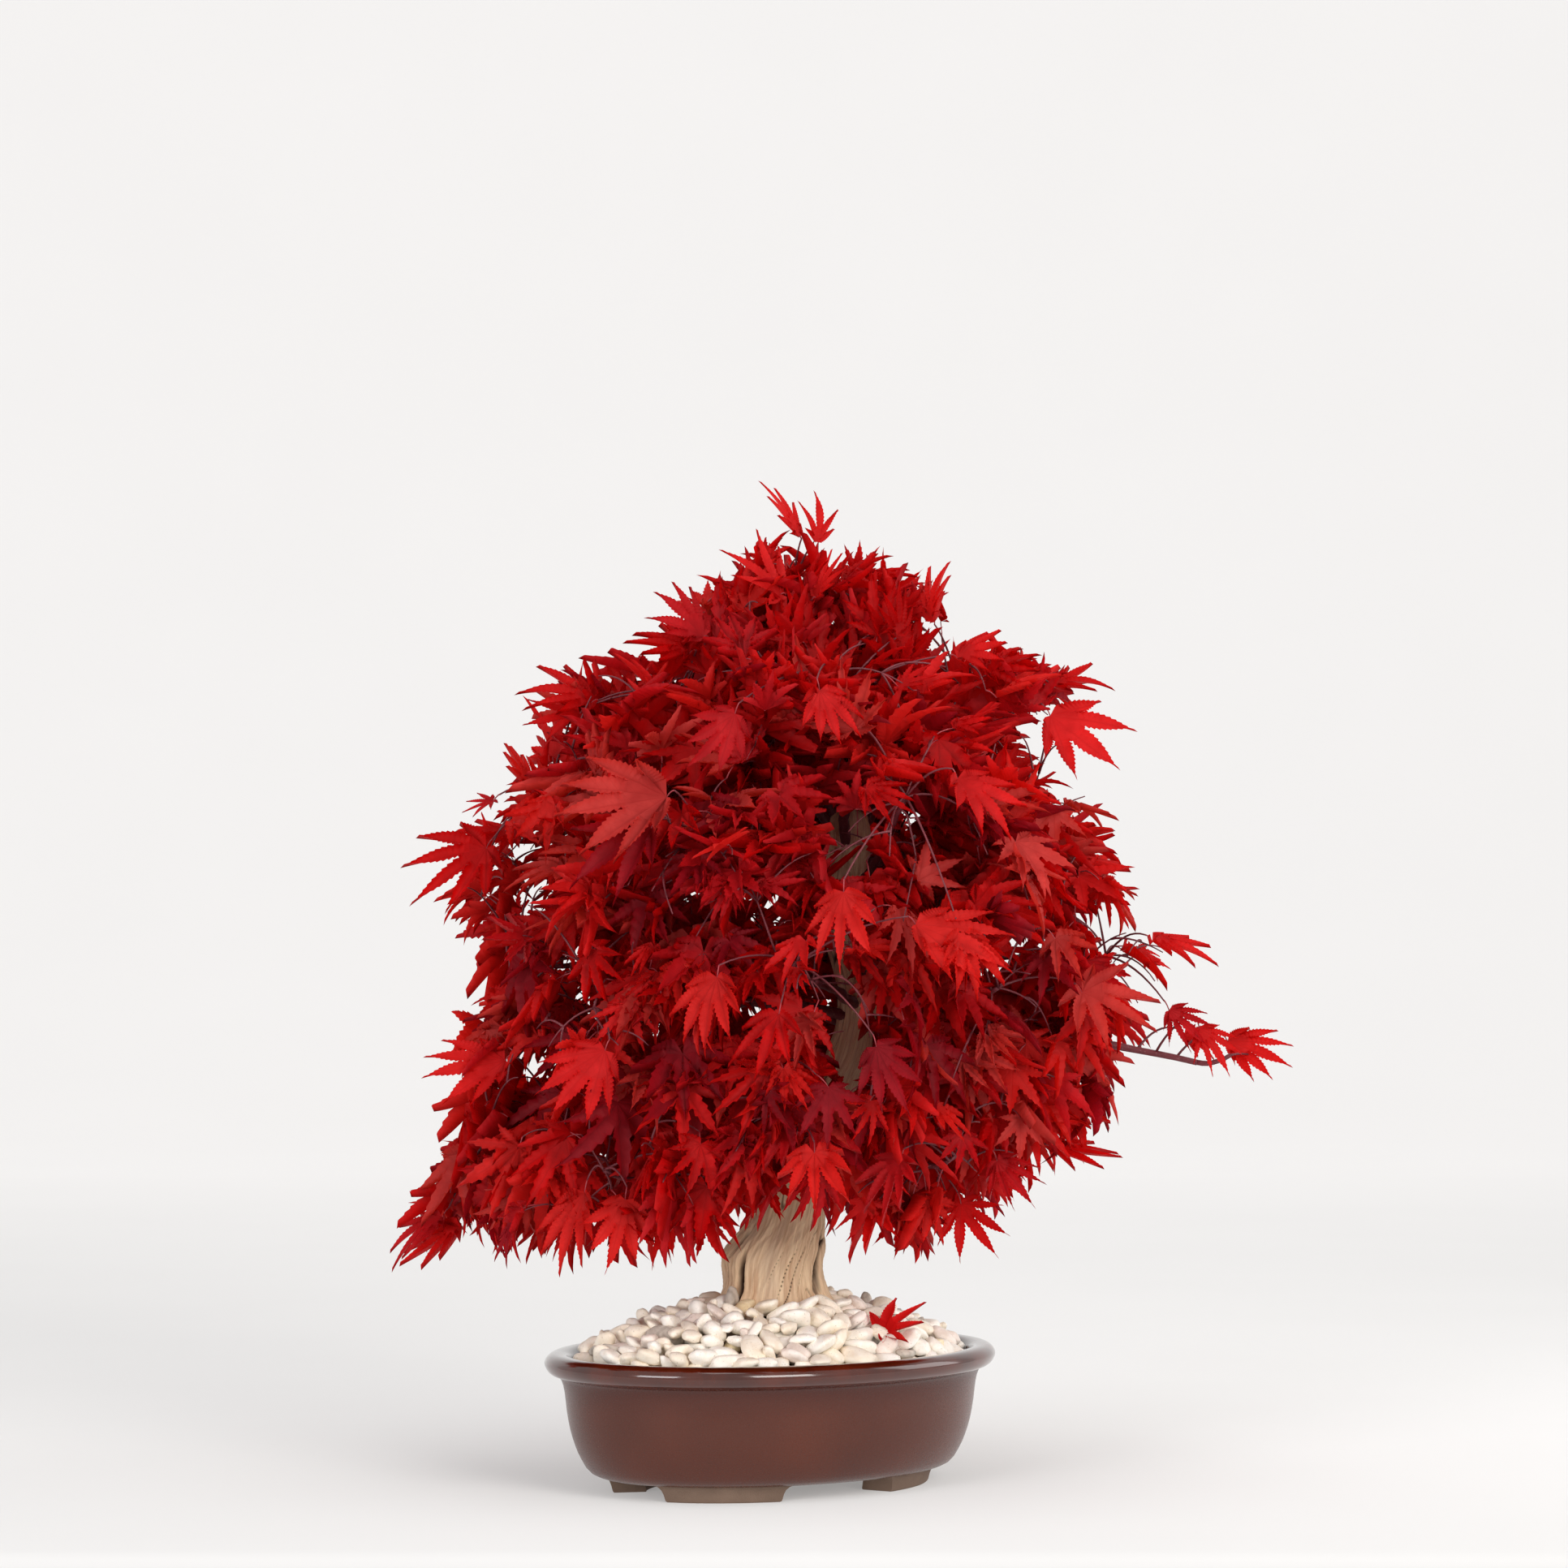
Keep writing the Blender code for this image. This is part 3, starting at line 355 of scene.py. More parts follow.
shadowed = add(tree, "Mix", {0: deep.outputs["Result"], 6: weathered.outputs[2],
                             7: linear("3A2416")}, data_type="RGBA")
matt = add(tree, "MapRange", {"Value": streak.outputs["Fac"], "To Min": 0.72, "To Max": 0.92})
relief = add(tree, "Bump", {"Height": streak.outputs["Fac"], "Distance": 0.5 * MM,
                            "Strength": 0.7})
tree.links.new(shadowed.outputs[2], surface.inputs["Base Color"])
tree.links.new(matt.outputs["Result"], surface.inputs["Roughness"])
tree.links.new(relief.outputs["Normal"], surface.inputs["Normal"])

heights = [TRUNK_LOW + FINE_STEP * i for i in range(FINE_RINGS)]
while heights[-1] < TRUNK_TOP:
    heights.append(heights[-1] + COARSE_STEP)
heights[-1] = TRUNK_TOP
verts, crack_shade, grain_uv = [], [], []
for height in heights:
    x, y, half = smooth_line(TRUNK_LINE, height)
    cap = max(0.0, (height - CAP_LOW) / (TRUNK_TOP - CAP_LOW))
    for angle in turns(TRUNK_ROUND):
        level, crack = wood_relief(angle, height, half)
        reach = trunk_radius(angle, height, half) + level
        lump = 2.4 * cap * noise.noise(Vector((math.cos(angle), math.sin(angle), 3)))
        verts.append(placed(x + reach * math.cos(angle), y + reach * math.sin(angle),
                            height + lump))
        crack_shade.append(crack)
        grain_uv.append((angle * GRAIN_RADIUS, (height - TRUNK_LOW) * MM))
rings = len(heights)
faces = ring_faces(rings, TRUNK_ROUND)
faces.append(tuple(range(TRUNK_ROUND - 1, -1, -1)))
# The sawn top is weathered hollow, with painted shade that darkens toward its middle
x, y, half = smooth_line(TRUNK_LINE, TRUNK_TOP)
for share, drop in ((0.62, 1.0), (0.3, 2.6)):
    for angle in turns(TRUNK_ROUND):
        rough = 1.8 * noise.noise(Vector((math.cos(angle) * 3 * share, math.sin(angle) * 3, 8)))
        verts.append(placed(x + half * share * math.cos(angle), y + half * share * math.sin(angle),
                            TRUNK_TOP - drop + rough))
        crack_shade.append(0.25 + 0.5 * (1 - share))
        grain_uv.append((angle * GRAIN_RADIUS, (TRUNK_TOP - TRUNK_LOW) * MM))
faces += ring_faces(3, TRUNK_ROUND, (rings - 1) * TRUNK_ROUND)
faces.append(tuple(range(len(verts) - TRUNK_ROUND, len(verts))))


def corner_values(item, values):
    """Values of a piece's points, repeated for each corner of its faces."""
    corners = np.zeros(len(item.data.loops), np.int32)
    item.data.loops.foreach_get("vertex_index", corners)
    return np.asarray(values, np.float32)[corners]


trunk = piece("trunk_driftwood", verts, faces, [driftwood])
crack_shade_values = trunk.data.attributes.new("crack", "FLOAT", "POINT")
crack_shade_values.data.foreach_set("value", np.array(crack_shade, np.float32))
corner_uv = corner_values(trunk, grain_uv)
starts = np.zeros(len(trunk.data.polygons), np.int32)
trunk.data.polygons.foreach_get("loop_start", starts)
for start in starts[:(rings - 1) * TRUNK_ROUND][TRUNK_ROUND - 1::TRUNK_ROUND]:
    corner_uv[start + 1:start + 3, 0] += 2 * math.pi * GRAIN_RADIUS
trunk.data.uv_layers.new(name="grain").data.foreach_set("uv", corner_uv.ravel())
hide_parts("trunk")


# --- Pebbles ---
# River pebbles of cream limestone, tumbled smooth, 14 to 38 mm long. They are poured over the
# pot's filler and heaped round the trunk's foot, and lie loose on one another.

# Share of the way out to the rim, and the heap's height there (mm)
HEAP = ((0.0, 147), (0.30, 146), (0.48, 139.5), (0.66, 130), (0.82, 119), (1.0, 105))
FILLER_DROP = 26                 # the filler lies this far under the heap's surface (mm)
FILLER_SIDES, FILLER_RINGS = 64, 12
GRID = 2.0                       # spacing of the map that the pebbles are settled on (mm)
BED_INSET = 22.5                 # from the pot's widest oval to its inside under the lip (mm)
BED_HALF = (pot_half.x / MM - BED_INSET, pot_half.y / MM - BED_INSET)
TRUNK_CLEAR = 38                 # pebbles lie outside this radius round the trunk's foot (mm)
HALF_LENGTHS = (7.0, 19.0, 12.5) # a pebble's half length: least, most and commonest (mm)
POURED = 2600                    # pebbles poured, many of which find no room
HOLLOW_DEPTH = 3.0               # a pebble goes only where the heap lacks this much (mm)
PROUD = 9                        # how far a pebble's top may stand over the heap (mm)
HANG_SHARE = 0.86                # share of a pebble's underside that hangs clear where it rests

# Limestone in five casts, from white to honey and grey: a soft sheen from tumbling, pale clouds
# a few mm wide and small pits
stones, stone_shares = [], []
for name, pale, dark, share in (("white limestone pebble", "FFFBF2", "F6ECDD", 0.44),
                                ("cream limestone pebble", "FCF3E3", "F0E1CA", 0.31),
                                ("pink limestone pebble", "F8ECE2", "E6D4C6", 0.12),
                                ("honey limestone pebble", "F8E8C4", "E8D0A0", 0.05),
                                ("grey limestone pebble", "D3C9BC", "A89C8F", 0.08)):
    stone, tree, surface = finish_named(name, {"IOR": 1.5})
    place = add(tree, "TexCoord").outputs["Object"]
    cloud = add(tree, "TexNoise", {"Vector": place, "Scale": 1 / (9 * MM), "Detail": 4,
                                   "Distortion": 0.8})
    veil = add(tree, "MapRange", {"Value": cloud.outputs["Fac"], "From Min": 0.38,
                                  "From Max": 0.72})
    pits = add(tree, "TexNoise", {"Vector": place, "Scale": 1 / (1.6 * MM), "Detail": 3})
    pit = add(tree, "MapRange", {"Value": pits.outputs["Fac"], "From Min": 0.62,
                                 "From Max": 0.75, "To Max": 0.5})
    cream = add(tree, "Mix", {0: veil.outputs["Result"], 6: linear(pale), 7: linear(dark)},
                data_type="RGBA")
    pitted = add(tree, "Mix", {0: pit.outputs["Result"], 6: cream.outputs[2],
                               7: linear("8C7763")}, data_type="RGBA")
    sheen = add(tree, "MapRange", {"Value": cloud.outputs["Fac"], "To Min": 0.42, "To Max": 0.68})
    relief = add(tree, "Bump", {"Height": pits.outputs["Fac"], "Distance": 0.3 * MM,
                                "Strength": 0.35})
    tree.links.new(pitted.outputs[2], surface.inputs["Base Color"])
    tree.links.new(sheen.outputs["Result"], surface.inputs["Roughness"])
    tree.links.new(relief.outputs["Normal"], surface.inputs["Normal"])
    stones.append(stone)
    stone_shares.append(share)

# Sandy filler, seen only between the pebbles; its dark brown is partly painted shade for the gaps
filler, tree, surface = finish_named("sandy filler", {"Roughness": 0.95})
place = add(tree, "TexCoord").outputs["Object"]
sand = add(tree, "TexNoise", {"Vector": place, "Scale": 1 / (2.5 * MM), "Detail": 4})
sand_with_gap_shade = add(tree, "Mix", {0: sand.outputs["Fac"], 6: linear("6B5747"), 7: linear("A48D77")},
            data_type="RGBA")
relief = add(tree, "Bump", {"Height": sand.outputs["Fac"], "Distance": 1.0 * MM})
tree.links.new(sand_with_gap_shade.outputs[2], surface.inputs["Base Color"])
tree.links.new(relief.outputs["Normal"], surface.inputs["Normal"])


def heap_height(x, y):
    """Height of the heaped pebbles, in mm, at a place in the pot."""
    share = math.hypot(x / BED_HALF[0], y / BED_HALF[1])
    return smooth_line(HEAP, min(share, 1.0))[0]


def filler_height(heap, share):
    """Height of the filler under the heap, at a share of the way out to the rim."""
    return heap - FILLER_DROP * (0.55 + 0.45 * share) + 4


verts = []
for i in range(FILLER_RINGS + 1):
    share = i / FILLER_RINGS
    for angle in turns(FILLER_SIDES):
        x, y = BED_HALF[0] * share * math.cos(angle), BED_HALF[1] * share * math.sin(angle)
        verts.append((x * MM + pot_middle.x, y * MM + pot_middle.y,
                      filler_height(heap_height(x, y), share) * MM))
faces = ring_faces(FILLER_RINGS + 1, FILLER_SIDES, turned=True)
sand_bed = piece("filler_under_pebbles", verts, faces, [filler])
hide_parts("pebble_bed")

# The height map that pebbles settle on, in the pot's own millimetres, and what it should reach
span_x = np.arange(-BED_HALF[0], BED_HALF[0] + GRID, GRID)
span_y = np.arange(-BED_HALF[1], BED_HALF[1] + GRID, GRID)
map_x, map_y = np.meshgrid(span_x, span_y, indexing="ij")
share_map = np.hypot(map_x / BED_HALF[0], map_y / BED_HALF[1])
wanted = np.array([[heap_height(x, y) for y in span_y] for x in span_x])
ground = filler_height(wanted, share_map)
trunk_foot = to_pot @ Vector((-1, 0, 0))
from_trunk = np.hypot(map_x - trunk_foot.x, map_y - trunk_foot.y)
open_ground = (share_map < 0.95) & (from_trunk > TRUNK_CLEAR + 5)


def settle(x, y, size, turn):
    """Height at which a pebble comes to rest, the map cells it covers, and its top there."""
    form = np.array(turn) @ np.diag(1 / np.square(size)) @ np.array(turn).T
    near = (np.abs(map_x - x) < size[0] + GRID) & (np.abs(map_y - y) < size[0] + GRID)
    cells = np.nonzero(near)
    dx, dy = map_x[cells] - x, map_y[cells] - y
    b = form[0, 2] * dx + form[1, 2] * dy
    c = form[0, 0] * dx ** 2 + 2 * form[0, 1] * dx * dy + form[1, 1] * dy ** 2 - 1
    inside = b ** 2 - form[2, 2] * c
    under = inside > 0
    root = np.sqrt(inside[under])
    below = (-b[under] - root) / form[2, 2]
    above = (-b[under] + root) / form[2, 2]
    cells = cells[0][under], cells[1][under]
    return np.quantile(ground[cells] - below, HANG_SHARE), cells, above


def share_at(cast, shares):
    """Number of the share in which a cast from 0 to 1 falls."""
    for number, share in enumerate(shares):
        cast -= share
        if cast < 0:
            break
    return number


chance = random.Random(7)
pebbles = []
for _ in range(POURED):
    # Each pebble goes to the deepest of forty places
    lack = np.where(open_ground, wanted - ground, -99)
    picks = [(chance.randrange(len(span_x)), chance.randrange(len(span_y))) for _ in range(40)]
    i, j = max(picks, key=lambda p: lack[p])
    if lack[i, j] < HOLLOW_DEPTH:
        continue
    length = chance.triangular(*HALF_LENGTHS)
    size = np.array((length, length * chance.uniform(0.48, 0.82),
                     length * chance.uniform(0.32, 0.56)))
    x, y = span_x[i] + chance.uniform(-1, 1), span_y[j] + chance.uniform(-1, 1)
    edge = math.hypot(x / (BED_HALF[0] + 3 - length * 0.8), y / (BED_HALF[1] + 3 - length * 0.8))
    far = math.hypot(x - trunk_foot.x, y - trunk_foot.y)
    if edge > 1 or far < TRUNK_CLEAR + length * 0.55:
        continue
    # It rolls to the lowest of four rests. One in seven stands nearly on end.
    rests = []
    stand = 0.75 if chance.random() < 0.15 else 0.0
    for _ in range(4):
        turn = (Matrix.Rotation(chance.uniform(0, 2 * math.pi), 3, "Z")
                @ Matrix.Rotation(chance.gauss(stand, 0.45), 3, "Y")
                @ Matrix.Rotation(chance.gauss(0, 0.40), 3, "X"))
        rests.append((settle(x, y, size, turn), turn))
    (height, cells, above), turn = min(rests, key=lambda rest: rest[0][0])
    if height + size[2] > wanted[i, j] + PROUD:
        continue
    ground[cells] = np.maximum(ground[cells], height + above)
    pebbles.append((x, y, height, size, turn))

shaper = bmesh.new()
bmesh.ops.create_icosphere(shaper, subdivisions=3, radius=1.0)
ball = np.array([v.co for v in shaper.verts])
ball_faces = np.array([[v.index for v in f.verts] for f in shaper.faces])
shaper.free()
verts, faces, slots = [], [], []
for number, (x, y, height, size, turn) in enumerate(pebbles):
    dent = np.array([1 + 0.24 * noise.noise(Vector(d) * 1.1 + Vector((number * 3.7, 0, 0)))
                     + 0.07 * noise.noise(Vector(d) * 2.6 + Vector((0, number * 2.3, 0)))
                     for d in ball])
    # A tumbled stone is a little boxier than an egg, and fuller at one end
    boxy = np.sign(ball) * np.abs(ball) ** 0.88
    egg = 1 + 0.12 * ball[:, :1] * chance.uniform(-1, 1)
    worn = boxy * dent[:, None] * egg * size * 0.99
    turned = worn @ np.array(turn).T + np.array((x, y, height))
    faces.append(ball_faces + number * len(ball))
    verts.append(turned * MM + np.array(pot_axis))
    slots += [share_at(chance.random(), stone_shares)] * len(ball_faces)
pebble_heap = piece("pebbles", np.vstack(verts), np.vstack(faces), stones, slots)
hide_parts("pebble_bed")


# --- Boughs and twigs ---
# Real maple boughs and twigs, thin and smooth with purple-brown bark. Each bough is pegged into
# a hole in the trunk, forks in its mass of foliage, and ends in shoots whose joints carry leaves
# in pairs.

BOUGH_FOOT, BOUGH_TIP = 4.8, 2.4 # a bough's radius at the trunk, and at its end (mm)
BOUGH_STEPS = 18
BUDS = (5, 10, 14)               # points along a bough that old buds thicken
SHOOTS = 38                      # shoots in each mass of foliage
LONE_REACH = 70                  # a mass of less reach (mm) is one shoot, outside the outline
SIDE_SLACK = 14 * MM             # how far a mass's leaves may mix with its neighbour's

# Foliage masses, from the top of the tree down to its skirt, and last the spray that stands far
# out on the right: middle x, y, z, reach, and the bough's height on the trunk (mm)
MASSES = (((12, 0, 722), 105, 533), ((-76, -5, 630), 115, 520), ((162, 5, 652), 115, 526),
          ((46, -108, 652), 112, 512), ((44, 112, 634), 112, 506), ((-176, -14, 552), 118, 478),
          ((220, -8, 536), 118, 496), ((104, -160, 552), 115, 470), ((-52, -156, 514), 115, 458),
          ((-56, 158, 550), 115, 452), ((120, 158, 520), 115, 462), ((-212, -2, 428), 120, 398),
          ((268, 5, 424), 120, 420), ((-138, -138, 388), 118, 376), ((20, -178, 424), 115, 386),
          ((176, -142, 404), 118, 408), ((26, 182, 424), 118, 384), ((-136, 140, 396), 118, 370),
          ((178, 142, 412), 118, 396), ((-228, -10, 290), 122, 282),
          ((-130, -136, 262), 115, 262), ((14, -152, 306), 100, 284),
          ((144, -116, 272), 110, 274), ((232, 4, 310), 110, 318), ((-126, 132, 272), 118, 270),
          ((134, 128, 292), 118, 290), ((4, 160, 288), 105, 300), ((366, -20, 346), 64, 344))
LEAFY_MIDDLE = placed(15, 0, 430)    # leaves turn away from this point

# Outline of the leafy part from its best side: height, left edge, right edge (mm)
LEAFY_LINE = ((184, -292, 160), (194, -298, 176), (228, -284, 205), (267, -274, 275),
              (306, -270, 294), (345, -256, 304), (371, -242, 322), (400, -240, 344),
              (425, -252, 350), (462, -280, 312), (501, -284, 294), (525, -264, 290),
              (545, -238, 286), (579, -214, 278), (618, -196, 262), (648, -190, 268),
              (668, -168, 252), (684, -110, 205), (700, -86, 166), (735, -60, 130),
              (755, -34, 92), (774, -10, 42), (812, -8, 16))
LEAFY_DEPTH = 0.80               # its half depth as a share of its half width

# Young maple bark: smooth, satin, purple-brown, with pale breathing pores a millimetre long
bark, tree, surface = finish_named("smooth maple bark", {"IOR": 1.45})
place = add(tree, "TexCoord").outputs["Object"]
tone = add(tree, "TexNoise", {"Vector": place, "Scale": 1 / (12 * MM), "Detail": 4})
pores = add(tree, "TexNoise", {"Vector": place, "Scale": 1 / (1.5 * MM), "Detail": 2})
pore = add(tree, "MapRange", {"Value": pores.outputs["Fac"], "From Min": 0.6, "From Max": 0.7,
                              "To Max": 0.3})
purple = add(tree, "Mix", {0: tone.outputs["Fac"], 6: linear("4A161C"), 7: linear("7E333C")},
             data_type="RGBA")
dotted = add(tree, "Mix", {0: pore.outputs["Result"], 6: purple.outputs[2], 7: linear("A87C78")},
             data_type="RGBA")
satin = add(tree, "MapRange", {"Value": tone.outputs["Fac"], "To Min": 0.45, "To Max": 0.7})
relief = add(tree, "Bump", {"Height": pores.outputs["Fac"], "Distance": 0.3 * MM,
                            "Strength": 0.5})
tree.links.new(dotted.outputs[2], surface.inputs["Base Color"])
tree.links.new(satin.outputs["Result"], surface.inputs["Roughness"])
tree.links.new(relief.outputs["Normal"], surface.inputs["Normal"])

# Leaf stalks and this year's shoots: wine red and slightly shiny
young_bark, tree, surface = finish_named("wine-red leaf stalk", {"IOR": 1.45, "Roughness": 0.45})
place = add(tree, "TexCoord").outputs["Object"]
tone = add(tree, "TexNoise", {"Vector": place, "Scale": 1 / (10 * MM), "Detail": 3})
wine = add(tree, "Mix", {0: tone.outputs["Fac"], 6: linear("7A1A26"), 7: linear("B84A50")},
           data_type="RGBA")
tree.links.new(wine.outputs[2], surface.inputs["Base Color"])


class Rods:
    """Round rods gathered into one mesh."""

    def __init__(self):
        self.verts, self.faces = [], []

    def run(self, points, radii, sides, swell=0.0):
        """A rod through points. Swell thickens it a little at each point, as at a bud."""
        first, side = len(self.verts), None
        count = len(points)
        for i, point in enumerate(points):
            ahead = (points[min(i + 1, count - 1)] - points[max(i - 1, 0)]).normalized()
            if side is None:
                guide = Vector((0, 0, 1)) if abs(ahead.z) < 0.9 else Vector((1, 0, 0))
                side = ahead.cross(guide).normalized()
            side = (side - ahead * side.dot(ahead)).normalized()
            up = side.cross(ahead)
            for k, angle in enumerate(turns(sides)):
                radius = radii[i] * (1 + swell * noise.noise(point * 160 + Vector((k, 0, 0))))
                self.verts.append(point + (side * math.cos(angle) + up * math.sin(angle)) * radius)
        last = first + (count - 1) * sides
        self.faces += ring_faces(count, sides, first, turned=True)
        self.faces.append(tuple(range(first, first + sides)))
        self.faces.append(tuple(range(last + sides - 1, last - 1, -1)))


def bow(start, middle, end, steps):
    """Points along a bowed line."""
    return [start * (1 - t) ** 2 + middle * 2 * t * (1 - t) + end * t ** 2
            for t in [i / steps for i in range(steps + 1)]]


def trunk_centre(height):
    """The trunk's centre at a height in mm, and its half width there, in metres."""
    x, y, half = smooth_line(TRUNK_LINE, height)
    return placed(x, y, height), half * MM


def in_tree(point):
    """A point's place in the tree's own frame, in metres."""
    return to_tree @ (point - pot_axis)


def wander(amount):
    """A random step of up to an amount along each axis."""
    return Vector([chance.uniform(-1, 1) for _ in range(3)]) * amount


edge_heights, edge_left, edge_right = zip(*LEAFY_LINE)


def leafy_edge(point):
    """How far out a point lies in the leafy part: 0 on its axis, 1 on its outline."""
    x, y, z = in_tree(point) / MM
    if not edge_heights[0] <= z <= edge_heights[-1]:
        return 2.0
    left = float(np.interp(z, edge_heights, edge_left))
    right = float(np.interp(z, edge_heights, edge_right))
    half = (right - left) / 2
    lump = 1 + 0.36 * noise.noise(Vector((x, y, 1.6 * z)) / 85)
    return math.hypot((x - (left + right) / 2) / half, y / (half * LEAFY_DEPTH) * lump)


def leaf_way(point):
    """Direction that leaves at a point turn to: away from the crown's middle, and drooping."""
    way = point - LEAFY_MIDDLE
    way.z *= 0.85
    way.normalize()
    return (way + Vector((0, 0, -0.30 * (1 - max(way.z, 0))))).normalized()


chance = random.Random(20)
centres = [placed(*row[0]) for row in MASSES]


def own_space(point, own, reach, edge=1.0):
    """Whether a point lies in its mass's reach, on its own side and inside the leafy outline."""
    far = (point - centres[own]).length
    return (far < reach and all(far < (point - other).length + SIDE_SLACK for other in centres)
            and (reach < LONE_REACH * MM or leafy_edge(point) < edge))


bough_rods, twig_rods, stalk_rods = Rods(), Rods(), Rods()
stems = []
joints = []       # each: its mass, place, the shoot's heading, turn, number of leaves, and tint
for own, (_, reach, height) in enumerate(MASSES):
    centre = centres[own]
    reach *= MM
    foot, half = trunk_centre(height)
    away = centre - foot
    away.z = 0
    away.normalize()
    start = foot + away * half * 0.6
    tip = centre - (centre - foot).normalized() * reach * 0.42 - Vector((0, 0, 6 * MM))
    span = (tip - start).length
    # A bough bows outward, or steeply up where its mass stands high above its foot
    out, up = (0.26, 0.42) if (tip - start).z > 0.6 * span else (0.45, 0.12)
    arch = start + away * span * out + Vector((0, 0, up * span))
    line = bow(start, arch, tip, BOUGH_STEPS)
    line = [p + wander(1.2 * MM) if 0 < i < BOUGH_STEPS else p for i, p in enumerate(line)]
    radii = [(BOUGH_FOOT + (BOUGH_TIP - BOUGH_FOOT) * (i / BOUGH_STEPS) ** 0.8) * MM
             * (1.12 if i in BUDS else 1) for i in range(BOUGH_STEPS + 1)]
    bough_rods.run(line, radii, 12, 0.18)
    # The stem goes on to the middle of the mass and forks there
    stem = bow(tip, tip + (line[-1] - line[-2]).normalized() * reach * 0.2, centre, 6)
    twig_rods.run(stem, [(2.3 - 0.08 * i) * MM for i in range(7)], 7, 0.15)
    stems.append(stem + line[8:])
    # Shoot tips are spread evenly: each new one is the farthest of many places from the others
    ends = []
    for _ in range(SHOOTS if reach > LONE_REACH * MM else 1):
        best, best_gap = None, -1
        for _ in range(12):
            at = centre + Vector([chance.gauss(0, 0.5) for _ in range(3)]) * reach
            if not own_space(at + leaf_way(at) * 28 * MM, own, reach):
                continue
            gap = min([(at - end).length for end in ends] + [0.2]) + 0.02 * leafy_edge(at)
            if gap > best_gap:
                best, best_gap = at, gap
        if best is not None:
            ends.append(best)
    # Shoots fork from the stem and from each other, the inner ones first
    forks = line[9:] + stem[1:]
    for number, end in enumerate(sorted(ends, key=lambda e: (e - centre).length)):
        root = min(forks, key=lambda fork: abs((fork - end).length - 12 * MM)
                   + 0.3 * (fork - centre).length)
        lift = (end - root).length * 0.22
        middle = (root + end) / 2 + Vector((0, 0, lift)) + wander(5 * MM)
        shoot = bow(root, middle, end, 8)
        twig_rods.run(shoot, [(1.05 - 0.07 * i) * MM for i in range(9)], 5, 0.2)
        forks += [shoot[3], shoot[5]]
        tint = chance.random()
        joints.append((own, end, (end - shoot[7]).normalized(), number * 2.4, 2, tint))
        if (end - shoot[5]).length > 8 * MM:
            joints.append((own, shoot[5], (shoot[6] - shoot[5]).normalized(),
                           number * 2.4 + 1.5, 1, tint))


# --- Leaves ---
# Palmate maple leaves, preserved and dyed red so that they stay supple. They are thin and satin,
# with five or seven saw-edged lobes drawn out to long points, and hang from slim stalks.

LEAF_LENGTHS = (48, 98, 66)      # stalk to middle lobe's tip: least, most and commonest (mm)
SPARE = 14 * MM                  # how far lobe tips may reach past the plant's own box
LEAF_TRIALS = 18                 # ways tried for each leaf, until one has room
TEETH = 5                        # saw teeth drawn on each side of a lobe, coarser than real ones
GLOW_SHARE = 0.38                # share of the light that a leaf lets through
# Lobes of a full leaf and of a narrow one: angle (degrees), and length beside the middle lobe
SEVEN_LOBES = ((-122, 0.36), (-81, 0.68), (-40, 0.90), (0, 1.0), (40, 0.90), (81, 0.68),
               (122, 0.36))
FIVE_LOBES = ((-90, 0.52), (-45, 0.86), (0, 1.0), (45, 0.86), (90, 0.52))
# As shares of the leaf's length: a lobe's widest half width, a tooth's depth, and how far from
# the stalk the leaf's heel lies
LOBE_BELLY, TOOTH_DEPTH, HEEL = 0.050, 0.052, 0.07
HEEL_TURN = 0.62                 # the heel's turn past the outer lobes (radians)
TIP_TEETH = 0.6                  # a lobe's tip past its last tooth, counted in teeth


